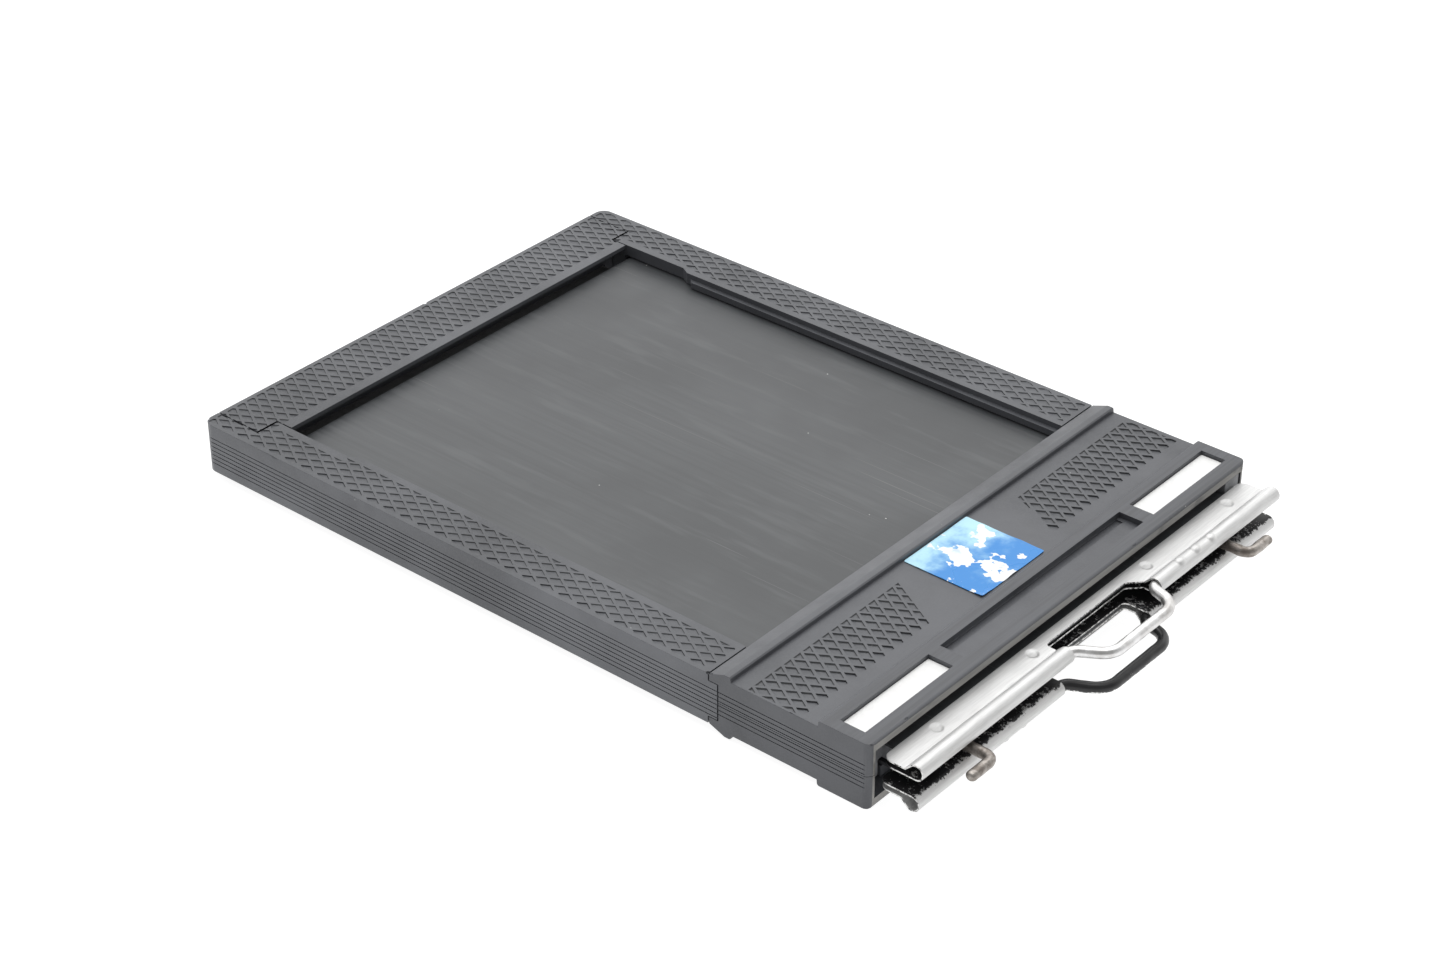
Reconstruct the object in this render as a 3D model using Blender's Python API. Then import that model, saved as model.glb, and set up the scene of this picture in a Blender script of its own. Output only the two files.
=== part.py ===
"""Double-sided sheet film holder, 4 x 5 inch class, closed, lying flat.

Holder frame used while modelling: x runs from the loading-flap end (0) to the
handle end, y is measured from the centre line (near side negative), z from the
mid-plane between the two film sides.  The whole holder hangs under one empty
that drops it onto the ground plane and centres it.
"""
import bmesh
import bpy
from math import acos, atan2, cos, degrees, pi, radians, sin, sqrt, tan
from mathutils import Matrix, Vector

MM = 0.001

# ---- overall sizes -------------------------------------------------------
WIDTH = 120.65 * MM              # standard width of the 4 x 5 inch holder
HALF_W = WIDTH / 2
RAIL_HALF = 5.5 * MM             # half thickness of rails and flap
PANEL_HALF = RAIL_HALF + 0.35 * MM    # half thickness of the handle-end panel
RIDGE_HALF = PANEL_HALF + 1.0 * MM    # half thickness over the locating rib
END_HALF = PANEL_HALF + 1.2 * MM      # half thickness of the raised end bar
BLOCK_END_X = 169.8 * MM         # length of the moulded body
BLOCK_LENGTH = 36.3 * MM         # length of the handle-end block
RAIL_END_X = BLOCK_END_X - BLOCK_LENGTH
SEAM = 0.3 * MM                  # gap between pieces that meet
SHEET_GAP = 0.1 * MM             # gap between thin sheet pieces
SOFT_EDGE = 0.5 * MM             # rounding of the block's upper edges

# ---- rails and loading flap ----------------------------------------------
WING_Y = HALF_W - 4.43 * MM      # half width of the flap's outer bar
TONGUE_Y = HALF_W - 9.7 * MM     # half width of the flap's tongue, and of the narrow rails
WIDE_Y = HALF_W - 10.7 * MM      # half width between the rails past the jog
LEDGE_Y = HALF_W - 11.8 * MM     # half width between the low ledges of the rails
LEDGE_Z = RAIL_HALF - 1.2 * MM
JOG_X = 32.2 * MM
JOG_LENGTH = 2.1 * MM
FLAP_END_X = 15.55 * MM
FLAP_LIP = 0.9 * MM              # thickness of the flap's two lips beside its groove
FLAP_GROOVE_DEPTH = 4.0 * MM
HINGE_X = FLAP_END_X + 0.25 * MM
NOSE_REACH = 3.91 * MM           # hinge line to the upper edge of the rails' rounded noses
HINGE_RAIL_R = sqrt(RAIL_HALF**2 + NOSE_REACH**2)
HINGE_FLAP_R = HINGE_RAIL_R + SEAM    # the flap is hollowed to swing round the noses
CORNER_R = 2.5 * MM
GROOVE_PITCH = 0.98 * MM
GROOVE_COUNT = 7
GROOVE_TOP_Z = 2.45 * MM
GROOVE_WIDTH = 0.2 * MM
GROOVE_DEEP = 0.12 * MM
TONGUE_LENGTH = 2.0 * MM         # rail tongue let into the block
TONGUE_HALF = RAIL_HALF - 1.6 * MM
TONGUE_DEPTH = 5.8 * MM

# ---- what lies between the rails, from the mid-plane outwards ----------------
SEPTUM_HALF = 0.3 * MM
FILM_SPACE = 0.32 * MM           # between the septum and the guides' lips
GUIDE_SHEET = 0.25 * MM
GUIDE_PLAY = 0.98 * MM           # between a guide and a slide
BLADE_T = 0.75 * MM
BLADE_PLAY = 0.3 * MM            # above a slide
SIDE_PLAY = 0.4 * MM             # each side, for what lies in the slide slot
GUIDE_LIP_Z = SEPTUM_HALF + FILM_SPACE
GUIDE_TOP = GUIDE_LIP_Z + GUIDE_SHEET
BLADE_LOW = GUIDE_TOP + GUIDE_PLAY
BLADE_MID = BLADE_LOW + BLADE_T / 2
BLADE_TOP = BLADE_LOW + BLADE_T
CHANNEL_HALF = BLADE_TOP + BLADE_PLAY  # half height of the slot both slides run in
CHANNEL_Y = HALF_W - 7.0 * MM
BLADE_Y = CHANNEL_Y - SIDE_PLAY
BLADE_X0 = FLAP_END_X + 0.65 * MM
BLADE_LEAD = 1.2 * MM            # length of the bevel at a slide's leading edge
BLADE_INTO_HANDLE = 2.05 * MM
SEPTUM_X0 = HINGE_X + 4.2 * MM
SEPTUM_X1 = RAIL_END_X + 9.5 * MM
GUIDE_X0 = JOG_X + JOG_LENGTH + SEAM
GUIDE_X1 = SEPTUM_X1 - 0.5 * MM
GUIDE_Y_IN = LEDGE_Y - 0.6 * MM
GUIDE_Y_OUT = CHANNEL_Y - SIDE_PLAY
SEPTUM_Y = GUIDE_Y_OUT - GUIDE_SHEET - SIDE_PLAY
CLOTH_HALF = 0.2 * MM
CLOTH_INTO_FLAP = 6.5 * MM
CLOTH_INSET = 3.0 * MM           # cloth is this much narrower than the flap's tongue, each side

# ---- handle-end block --------------------------------------------------------
RIDGE_X0 = RAIL_END_X + 3.4 * MM
RIDGE_X1 = RIDGE_X0 + 1.7 * MM
STEP_X = BLOCK_END_X - 11.4 * MM
CORE_X0 = SEPTUM_X1 + SEAM
CORE_X1 = BLOCK_END_X - 1.8 * MM
CORE_WEB_HALF = BLADE_LOW - 0.4 * MM
POST_Y0 = CHANNEL_Y + 0.1 * MM
POST_Y1 = HALF_W - 2.0 * MM
POST_HALF = RAIL_HALF - 0.65 * MM
NEAR_POST_X = BLOCK_END_X - 3.3 * MM
END_CAVITY_X = BLOCK_END_X - 2.9 * MM
END_CAVITY_Z = POST_HALF + 0.25 * MM
TRAP_X0 = CORE_X0 + 2.7 * MM
TRAP_X1 = TRAP_X0 + 10.0 * MM
TRAP_Y = CHANNEL_Y - 0.5 * MM
FELT_TOP = BLADE_TOP + 0.9 * MM
SPRING_SHEET = 0.25 * MM
SPRING_BOW = 0.4 * MM
TRAP_TOP = FELT_TOP + SPRING_BOW + SPRING_SHEET + 3 * SHEET_GAP
TAB_X1 = END_CAVITY_X - 0.25 * MM
TAB_X0 = TAB_X1 - 5.5 * MM
TAB_Y1 = HALF_W - 2.7 * MM
TAB_Y0 = TAB_Y1 - 25.45 * MM
TAB_SUNK = 0.85 * MM
TAB_T = 0.6 * MM
NAME_Y = TAB_Y0 - 3.5 * MM       # half length of the long plain recess
NAME_DEEP = 1.2 * MM
NAME_CHANNEL_W = 1.6 * MM
NAME_CHANNEL_DEEP = 0.4 * MM
LABEL_X0 = RIDGE_X1 + SEAM
LABEL_X1 = LABEL_X0 + 18.2 * MM
LABEL_Y0 = -10.1 * MM
LABEL_Y1 = 9.7 * MM
LABEL_T = 0.15 * MM

# ---- handles and wire loops ----------------------------------------------------
HANDLE_X0 = BLOCK_END_X + 0.15 * MM
HANDLE_SHEET = 0.3 * MM
HANDLE_HALF = HALF_W - 2.5 * MM
HANDLE_CORNER_R = 2.0 * MM
BAIL_R = 1.2 * MM
BAIL_PLAY = 0.13 * MM            # between the wire and the roll round it
ROLL_R = BAIL_R + BAIL_PLAY + HANDLE_SHEET
ROLL_X = HANDLE_X0 + 7.3 * MM
CREASE_X = ROLL_X - 2.4 * MM       # where the flat flange turns up towards the roll
ROLL_Z = BLADE_LOW - SHEET_GAP - HANDLE_SHEET + ROLL_R
BAIL_HALF_RUN = 38.1 * MM        # half of the wire's length inside the roll
LOOP_HALF = 14.3 * MM            # half length of the opening in the handle
LOOP_FLAT_HALF = 9.8 * MM
LOOP_X = ROLL_X + 5.95 * MM
LOOP_BEND_R = 2.6 * MM
LOOP_BROAD_R = 5.5 * MM          # the far outer corner is bent more gently
BLADE_X1 = HANDLE_X0 + BLADE_INTO_HANDLE
WINDOW_X0 = BLADE_X1 + SEAM
WINDOW_R = 1.2 * MM
# side: (sign of z, handle centre in y, loop centre in y)
SIDES = {"upper": (1, 0.8 * MM, 2.7 * MM), "lower": (-1, 0.0, 0.4 * MM)}

# ---- lock hooks ---------------------------------------------------------------
HOOK_PLAY = 0.2 * MM             # between a stem and the handles it passes between
HOOK_R = BLADE_LOW - HANDLE_SHEET - 2 * HOOK_PLAY
HOOK_Y = HALF_W - 18.7 * MM
HOOK_X = ROLL_X + ROLL_R + HOOK_R + 2.7 * MM
HOOK_LEG = 7.6 * MM
HOOK_BEND_R = 1.8 * MM
HOOK_HEAD_X = CORE_X1 - 6.5 * MM
HOOK_HEAD_LENGTH = 2.0 * MM
HOOK_HEAD_R = HOOK_R + 0.15 * MM
HOOK_NECK_R = HOOK_R - 0.25 * MM
HOOK_NECK_LENGTH = 2.2 * MM

OVERCUT = 2.0 * MM               # how far cutters run past the wall they cut
X_MAX = LOOP_X + BAIL_R
ARC_STEPS = 8


def clear_scene():
    """Empty the file of its default objects."""
    for ob in list(bpy.data.objects):
        bpy.data.objects.remove(ob, do_unlink=True)


def new_collection(name):
    """A collection linked under the scene."""
    col = bpy.data.collections.new(name)
    bpy.context.scene.collection.children.link(col)
    return col


def material(name, colour, roughness, metallic=0.0):
    """A plain Principled surface."""
    mat = bpy.data.materials.new(name)
    mat.use_nodes = True
    shader = mat.node_tree.nodes["Principled BSDF"]
    shader.inputs["Base Color"].default_value = (*colour, 1.0)
    shader.inputs["Roughness"].default_value = roughness
    shader.inputs["Metallic"].default_value = metallic
    return mat


def add_object(name, mesh, parent, mat=None):
    """Put a mesh in the parts collection under its body's empty, world pose kept."""
    ob = bpy.data.objects.new(name, mesh)
    PARTS.objects.link(ob)
    ob.parent = parent
    ob.location = -body_origin(parent)
    if mat is not None:
        mesh.materials.clear()
        mesh.materials.append(mat)
    return ob


def body_origin(empty):
    """Where a body's empty sits in the holder frame."""
    return Vector(empty.get("holder_origin", (0.0, 0.0, 0.0)))


def add_empty(name, at, parent=None):
    """An empty that carries a body; its origin lies on the body's joint axis."""
    ob = bpy.data.objects.new(name, None)
    ob.empty_display_size = 0.01
    PARTS.objects.link(ob)
    ob["holder_origin"] = at
    if parent is None:
        ob.location = at
    else:
        ob.parent = parent
        ob.location = Vector(at)
    return ob


def prism_mesh(name, outline, low, high, axis="Z"):
    """Closed prism: a filled outline extruded from low to high along an axis.

    For axis Z the outline is (x, y), for Y it is (x, z), for X it is (y, z).
    """
    curve = bpy.data.curves.new(name, "CURVE")
    curve.dimensions = "2D"
    curve.fill_mode = "BOTH"
    curve.extrude = (high - low) / 2
    spline = curve.splines.new("POLY")
    spline.points.add(len(outline) - 1)
    for point, (a, b) in zip(spline.points, outline):
        point.co = (a, b, 0.0, 1.0)
    spline.use_cyclic_u = True
    holder = bpy.data.objects.new(name, curve)
    bpy.context.scene.collection.objects.link(holder)
    depsgraph = bpy.context.evaluated_depsgraph_get()
    mesh = bpy.data.meshes.new_from_object(holder.evaluated_get(depsgraph))
    bpy.data.objects.remove(holder, do_unlink=True)
    bpy.data.curves.remove(curve)
    mesh.name = name
    centre = (low + high) / 2
    turn = {
        "Z": Matrix.Translation((0, 0, centre)),
        "Y": Matrix.Translation((0, centre, 0)) @ Matrix.Rotation(pi / 2, 4, "X"),
        "X": Matrix(((0, 0, 1, centre), (1, 0, 0, 0), (0, 1, 0, 0), (0, 0, 0, 1))),
    }[axis]
    mesh.transform(turn)
    weld(mesh)
    return mesh


def weld(mesh):
    """Join coincident points and point every face outwards."""
    bm = bmesh.new()
    bm.from_mesh(mesh)
    bmesh.ops.remove_doubles(bm, verts=bm.verts, dist=1e-7)
    bmesh.ops.recalc_face_normals(bm, faces=bm.faces)
    bm.to_mesh(mesh)
    bm.free()
    mesh.update()


def box_mesh(name, low, high):
    """Axis-aligned box between two corners."""
    bm = bmesh.new()
    bmesh.ops.create_cube(bm, size=1.0)
    low = Vector(low)
    high = Vector(high)
    size = high - low
    for vert in bm.verts:
        vert.co = Vector([vert.co[i] * size[i] for i in range(3)]) + (low + high) / 2
    mesh = bpy.data.meshes.new(name)
    bm.to_mesh(mesh)
    bm.free()
    return mesh


def cylinder_mesh(name, centre, radius, length, axis, segments=48):
    """Capped cylinder about a line parallel to the Y or X axis."""
    bm = bmesh.new()
    bmesh.ops.create_cone(
        bm, cap_ends=True, segments=segments, radius1=radius, radius2=radius, depth=length
    )
    mesh = bpy.data.meshes.new(name)
    bm.to_mesh(mesh)
    bm.free()
    turn = Matrix.Rotation(pi / 2, 4, "X" if axis == "Y" else "Y")
    mesh.transform(Matrix.Translation(centre) @ turn)
    return mesh


def rod_mesh(name, points, radius, radii=None, sides=3):
    """Round wire through a list of points, closed at both ends."""
    curve = bpy.data.curves.new(name, "CURVE")
    curve.dimensions = "3D"
    curve.bevel_depth = radius
    curve.bevel_resolution = sides
    curve.use_fill_caps = True
    spline = curve.splines.new("POLY")
    spline.points.add(len(points) - 1)
    for i, (point, co) in enumerate(zip(spline.points, points)):
        point.co = (*co, 1.0)
        point.radius = radii[i] / radius if radii else 1.0
    holder = bpy.data.objects.new(name, curve)
    bpy.context.scene.collection.objects.link(holder)
    depsgraph = bpy.context.evaluated_depsgraph_get()
    mesh = bpy.data.meshes.new_from_object(holder.evaluated_get(depsgraph))
    bpy.data.objects.remove(holder, do_unlink=True)
    bpy.data.curves.remove(curve)
    mesh.name = name
    weld(mesh)
    return mesh


def boolean(ob, mesh, operation="DIFFERENCE"):
    """Cut (or join) one object with a mesh that becomes a hidden cutter."""
    cutter = bpy.data.objects.new(mesh.name, mesh)
    CUTTERS.objects.link(cutter)
    cutter.display_type = "WIRE"
    cutter.hide_render = True
    cutter.parent = ob.parent
    cutter.location = ob.location
    mod = ob.modifiers.new(mesh.name, "BOOLEAN")
    mod.operation = operation
    mod.solver = "EXACT"
    mod.object = cutter
    return cutter


def arc(centre, radius, start, end, steps=ARC_STEPS):
    """Points along an arc, degrees from +x, end included."""
    span = end - start
    return [
        (
            centre[0] + radius * cos(radians(start + span * i / steps)),
            centre[1] + radius * sin(radians(start + span * i / steps)),
        )
        for i in range(steps + 1)
    ]


def mirror_y(outline):
    """The outline on the far side of the centre line, turned the same way round."""
    return [(x, -y) for x, y in reversed(outline)]


def flip_z(mesh):
    """Mirror a mesh in the mid-plane, faces kept outward."""
    mesh.transform(Matrix.Diagonal((1, 1, -1, 1)))
    mesh.flip_normals()
    return mesh


def round_shade(ob, angle=35.0):
    """Smooth shading on round pieces, crisp where the faces turn sharply."""
    ob.data.shade_smooth()
    ob.data.set_sharp_from_angle(angle=radians(angle))


# ---- rails ------------------------------------------------------------------
def rail_outline(inner_y):
    """Plan of the near rail; inner_y is where its inner edge runs past the jog."""
    wing = -WING_Y - SEAM / 2
    tongue = -TONGUE_Y - SEAM / 2
    front = HINGE_X - NOSE_REACH
    return (
        arc((CORNER_R, -HALF_W + CORNER_R), CORNER_R, 180, 270)
        + [(RAIL_END_X - SEAM / 2, -HALF_W)]
        + [(RAIL_END_X - SEAM / 2, -inner_y), (JOG_X + JOG_LENGTH, -inner_y)]
        + [(JOG_X, tongue), (front, tongue), (front, wing), (0.0, wing)]
    )


def rail_nose_mesh(name, sign):
    """Rounded end of a rail beside the flap's tongue, part of a drum about the hinge."""
    y0 = sign * (TONGUE_Y + SEAM / 2)
    y1 = sign * (WING_Y + SEAM / 2 + 0.5 * MM)
    edge_angle = 180 - degrees(atan2(RAIL_HALF, NOSE_REACH))
    drum = arc((HINGE_X, 0.0), HINGE_RAIL_R, edge_angle, 360 - edge_angle, 14)
    back = HINGE_X - NOSE_REACH / 2
    outline = [(back, RAIL_HALF)] + drum + [(back, -RAIL_HALF)]
    return prism_mesh(name, outline, min(y0, y1), max(y0, y1), "Y")


def build_rail(side, sign):
    """One side rail: bar, low ledges, drum nose, slide slot, tongue, finger grooves."""
    turn = (lambda pts: pts) if sign < 0 else mirror_y
    name = f"{side}_side_rail"
    bar = prism_mesh(name, turn(rail_outline(WIDE_Y)), -RAIL_HALF, RAIL_HALF)
    ob = add_object(name, bar, BODY["frame"], MATS["body"])
    ledge = [
        (JOG_X + JOG_LENGTH, -WIDE_Y - MM),
        (RAIL_END_X - SEAM / 2, -WIDE_Y - MM),
        (RAIL_END_X - SEAM / 2, -LEDGE_Y),
        (JOG_X + 2 * JOG_LENGTH, -LEDGE_Y),
    ]
    boolean(ob, prism_mesh(f"{side}_ledge", turn(ledge), -LEDGE_Z, LEDGE_Z), "UNION")
    boolean(ob, rail_nose_mesh(f"{side}_nose", sign), "UNION")
    lo = RAIL_END_X - SEAM / 2 - MM
    tongue_y = (sign * (HALF_W - TONGUE_DEPTH), sign * HALF_W)
    tongue = box_mesh(
        f"{side}_tongue",
        (lo, min(tongue_y), -TONGUE_HALF),
        (RAIL_END_X + TONGUE_LENGTH, max(tongue_y), TONGUE_HALF),
    )
    boolean(ob, tongue, "UNION")
    slot_y = (sign * (LEDGE_Y - OVERCUT), sign * CHANNEL_Y)
    slot = box_mesh(
        f"{side}_slide_slot",
        (FLAP_END_X - 0.4 * MM, min(slot_y), -CHANNEL_HALF),
        (RAIL_END_X + OVERCUT, max(slot_y), CHANNEL_HALF),
    )
    boolean(ob, slot)
    for i in range(GROOVE_COUNT):
        z = GROOVE_TOP_Z - i * GROOVE_PITCH
        groove_y = (sign * (HALF_W - GROOVE_DEEP), sign * (HALF_W + OVERCUT))
        groove = box_mesh(
            f"{side}_finger_groove_{i + 1}",
            (-OVERCUT, min(groove_y), z - GROOVE_WIDTH / 2),
            (RAIL_END_X + 2 * TONGUE_LENGTH, max(groove_y), z + GROOVE_WIDTH / 2),
        )
        boolean(ob, groove)
    return ob


# ---- loading flap -----------------------------------------------------------
def build_flap():
    """T-shaped flap, grooved at its inner end, hollowed to swing past the rails."""
    wing = WING_Y - SEAM / 2
    tongue = TONGUE_Y - SEAM / 2
    step = HINGE_X - sqrt(HINGE_FLAP_R**2 - RAIL_HALF**2)
    outline = [
        (0.0, -wing), (step, -wing), (step, -tongue), (FLAP_END_X, -tongue),
        (FLAP_END_X, tongue), (step, tongue), (step, wing), (0.0, wing),
    ]
    mesh = prism_mesh("loading_flap", outline, -RAIL_HALF, RAIL_HALF)
    ob = add_object("loading_flap", mesh, BODY["flap"], MATS["body"])
    for side, sign in (("near", -1), ("far", 1)):
        mid = sign * (wing + tongue) / 2
        length = wing - tongue + 2 * SEAM
        drum = cylinder_mesh(
            f"flap_{side}_hollow", (HINGE_X, mid + sign * SEAM, 0), HINGE_FLAP_R, length, "Y", 64
        )
        boolean(ob, drum)
    groove_half = RAIL_HALF - FLAP_LIP
    groove = box_mesh(
        "flap_groove",
        (FLAP_END_X - FLAP_GROOVE_DEPTH, -WING_Y - OVERCUT, -groove_half),
        (FLAP_END_X + OVERCUT, WING_Y + OVERCUT, groove_half),
    )
    boolean(ob, groove)
    slit_y = TONGUE_Y - CLOTH_INSET + 2 * SEAM
    slit = box_mesh(
        "flap_cloth_slit",
        (HINGE_X - CLOTH_INTO_FLAP - SEAM, SEAM - slit_y, -CLOTH_HALF - SHEET_GAP),
        (FLAP_END_X, slit_y - SEAM, CLOTH_HALF + SHEET_GAP),
    )
    boolean(ob, slit)
    cloth = box_mesh(
        "flap_hinge_cloth",
        (HINGE_X - CLOTH_INTO_FLAP, -TONGUE_Y + CLOTH_INSET, -CLOTH_HALF),
        (HINGE_X - SEAM, TONGUE_Y - CLOTH_INSET, CLOTH_HALF),
    )
    add_object("flap_hinge_cloth", cloth, BODY["flap"], MATS["cloth"])


# ---- septum, guides, cloth ----------------------------------------------------
def build_septum():
    """Centre plate both films lie on, with the fixed half of the cloth hinge."""
    plate = box_mesh(
        "septum_plate",
        (SEPTUM_X0, -SEPTUM_Y, -SEPTUM_HALF),
        (SEPTUM_X1, SEPTUM_Y, SEPTUM_HALF),
    )
    add_object("septum_plate", plate, BODY["frame"], MATS["plate"])
    cloth = box_mesh(
        "septum_hinge_cloth",
        (HINGE_X, -TONGUE_Y + CLOTH_INSET, -CLOTH_HALF),
        (SEPTUM_X0 - SHEET_GAP, TONGUE_Y - CLOTH_INSET, CLOTH_HALF),
    )
    add_object("septum_hinge_cloth", cloth, BODY["frame"], MATS["cloth"])


def build_film_guide(side, sign):
    """Folded channel along a rail: it holds the septum and hooks over both films."""
    web = GUIDE_Y_OUT - GUIDE_SHEET
    profile = [
        (GUIDE_Y_IN, GUIDE_LIP_Z), (web, GUIDE_LIP_Z), (web, -GUIDE_LIP_Z),
        (GUIDE_Y_IN, -GUIDE_LIP_Z), (GUIDE_Y_IN, -GUIDE_TOP), (GUIDE_Y_OUT, -GUIDE_TOP),
        (GUIDE_Y_OUT, GUIDE_TOP), (GUIDE_Y_IN, GUIDE_TOP),
    ]
    outline = [(sign * y, z) for y, z in profile]
    name = f"{side}_film_guide"
    mesh = prism_mesh(name, outline, GUIDE_X0, GUIDE_X1, "X")
    add_object(name, mesh, BODY["frame"], MATS["plate"])


# ---- handle-end block -----------------------------------------------------------
def shell_profile():
    """Side profile (x, z) of the upper shell, from its front edge round the top."""
    front = RAIL_END_X + SEAM / 2
    soft = SOFT_EDGE
    base = SEAM / 2
    return [
        (front, base), (BLOCK_END_X, base), (BLOCK_END_X, END_HALF - soft),
        (BLOCK_END_X - soft * 0.3, END_HALF - soft * 0.3), (BLOCK_END_X - soft, END_HALF),
        (STEP_X + 0.3 * MM, END_HALF), (STEP_X, END_HALF - 0.3 * MM),
        (STEP_X - 0.1 * MM, PANEL_HALF), (RIDGE_X1 + 0.1 * MM, PANEL_HALF),
        (RIDGE_X1, RIDGE_HALF - 0.2 * MM), (RIDGE_X1 - 0.3 * MM, RIDGE_HALF),
        (RIDGE_X0 + 0.3 * MM, RIDGE_HALF), (RIDGE_X0 - 0.2 * MM, RIDGE_HALF - 0.2 * MM),
        (front, RAIL_HALF),
    ]


def shell_plan():
    """Plan of the block with its two handle-end corners rounded."""
    r = 1.5 * MM
    far = arc((BLOCK_END_X - r, HALF_W - r), r, 0, 90, 6)
    near = arc((BLOCK_END_X - r, -HALF_W + r), r, 270, 360, 6)
    back = RAIL_END_X - OVERCUT
    return [(back, -HALF_W)] + near + far + [(back, HALF_W)]


def both_sides(low, high):
    """The same y span on the near and the far side."""
    return ((-high, -low), (low, high))


def shell_cutters(tag):
    """Everything hollowed out of one half of the block."""
    past = BLOCK_END_X + OVERCUT
    below = -OVERCUT
    cutters = [
        box_mesh(f"{tag}_slide_way", (RAIL_END_X - OVERCUT, -CHANNEL_Y, below),
                 (past, CHANNEL_Y, CHANNEL_HALF)),
        box_mesh(f"{tag}_end_cavity", (END_CAVITY_X, -POST_Y0, below),
                 (past, POST_Y0, END_CAVITY_Z)),
        box_mesh(f"{tag}_light_trap_pocket", (TRAP_X0 - SEAM, -TRAP_Y - SEAM, 0),
                 (TRAP_X1 + SEAM, TRAP_Y + SEAM, TRAP_TOP)),
        box_mesh(f"{tag}_long_recess", (TAB_X0, -NAME_Y, END_HALF - NAME_DEEP),
                 (TAB_X1, NAME_Y, END_HALF + OVERCUT)),
        box_mesh(f"{tag}_recess_channel",
                 (TAB_X0 + 0.1 * MM, -NAME_Y + MM, END_HALF - NAME_DEEP - NAME_CHANNEL_DEEP),
                 (TAB_X0 + NAME_CHANNEL_W, NAME_Y - MM, END_HALF - NAME_DEEP / 2)),
    ]
    for i, (lo, hi) in enumerate(both_sides(POST_Y0 - SEAM, POST_Y1 + SEAM)):
        cutters.append(box_mesh(f"{tag}_post_pocket_{i + 1}",
                                (CORE_X0 - SEAM, lo, below), (past, hi, POST_HALF + SEAM)))
    for i, (lo, hi) in enumerate(both_sides(HALF_W - TONGUE_DEPTH - SEAM, HALF_W + OVERCUT)):
        cutters.append(box_mesh(f"{tag}_tongue_notch_{i + 1}",
                                (RAIL_END_X - OVERCUT, lo, below),
                                (RAIL_END_X + TONGUE_LENGTH + SEAM, hi, TONGUE_HALF + 0.15 * MM)))
    for i, (lo, hi) in enumerate(both_sides(TAB_Y0, TAB_Y1)):
        cutters.append(box_mesh(f"{tag}_writing_pocket_{i + 1}",
                                (TAB_X0, lo, END_HALF - TAB_SUNK - TAB_T - SHEET_GAP),
                                (TAB_X1, hi, END_HALF + OVERCUT)))
    for i in range(GROOVE_COUNT):
        z = GROOVE_TOP_Z - i * GROOVE_PITCH
        if z < GROOVE_WIDTH:
            continue
        for j, (lo, hi) in enumerate(both_sides(HALF_W - GROOVE_DEEP, HALF_W + OVERCUT)):
            cutters.append(box_mesh(f"{tag}_side_groove_{i + 1}_{j + 1}",
                                    (RAIL_END_X - OVERCUT, lo, z - GROOVE_WIDTH / 2),
                                    (past, hi, z + GROOVE_WIDTH / 2)))
    return cutters


def build_shell(side, sign):
    """One moulded half of the handle-end block."""
    name = f"block_{side}_shell"
    mesh = prism_mesh(name, shell_profile(), -HALF_W, HALF_W, "Y")
    plan = prism_mesh(f"block_{side}_plan", shell_plan(), -OVERCUT, 2 * END_HALF)
    cutters = shell_cutters(side)
    if sign < 0:
        flip_z(mesh)
        flip_z(plan)
        for cutter in cutters:
            flip_z(cutter)
    ob = add_object(name, mesh, BODY["frame"], MATS["body"])
    boolean(ob, plan, "INTERSECT")
    for cutter in cutters:
        boolean(ob, cutter)
    return ob


def build_core():
    """Spacer between the two slides, with an end post each side and the hook seats."""
    outline = [
        (-POST_Y1, -POST_HALF), (-POST_Y0, -POST_HALF), (-POST_Y0, -CORE_WEB_HALF),
        (POST_Y0, -CORE_WEB_HALF), (POST_Y0, -POST_HALF), (POST_Y1, -POST_HALF),
        (POST_Y1, POST_HALF), (POST_Y0, POST_HALF), (POST_Y0, CORE_WEB_HALF),
        (-POST_Y0, CORE_WEB_HALF), (-POST_Y0, POST_HALF), (-POST_Y1, POST_HALF),
    ]
    mesh = prism_mesh("block_core", outline, CORE_X0, BLOCK_END_X - 0.2 * MM, "X")
    ob = add_object("block_core", mesh, BODY["frame"], MATS["core"])
    tall = POST_HALF + OVERCUT
    past = BLOCK_END_X + OVERCUT
    web_end = box_mesh("core_web_end", (CORE_X1, -POST_Y0 - MM, -tall), (past, POST_Y0, tall))
    boolean(ob, web_end)
    near_end = box_mesh("core_near_post_end", (NEAR_POST_X, -POST_Y1 - MM, -tall),
                        (past, -POST_Y0 + MM, tall))
    boolean(ob, near_end)
    neck_end = HOOK_HEAD_X + HOOK_HEAD_LENGTH + HOOK_NECK_LENGTH
    seats = (
        ("head", HOOK_HEAD_X - SEAM, HOOK_HEAD_X + HOOK_HEAD_LENGTH + SEAM, HOOK_HEAD_R + SEAM),
        ("neck", HOOK_HEAD_X, neck_end, HOOK_NECK_R + 0.25 * MM),
        ("stem", neck_end - SEAM, past, HOOK_R + SEAM),
    )
    for side, y in (("near", -HOOK_Y), ("far", HOOK_Y)):
        for part, x0, x1, half in seats:
            boolean(ob, box_mesh(f"core_{side}_hook_{part}", (x0, y - half, -tall),
                                 (x1, y + half, tall)))


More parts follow.
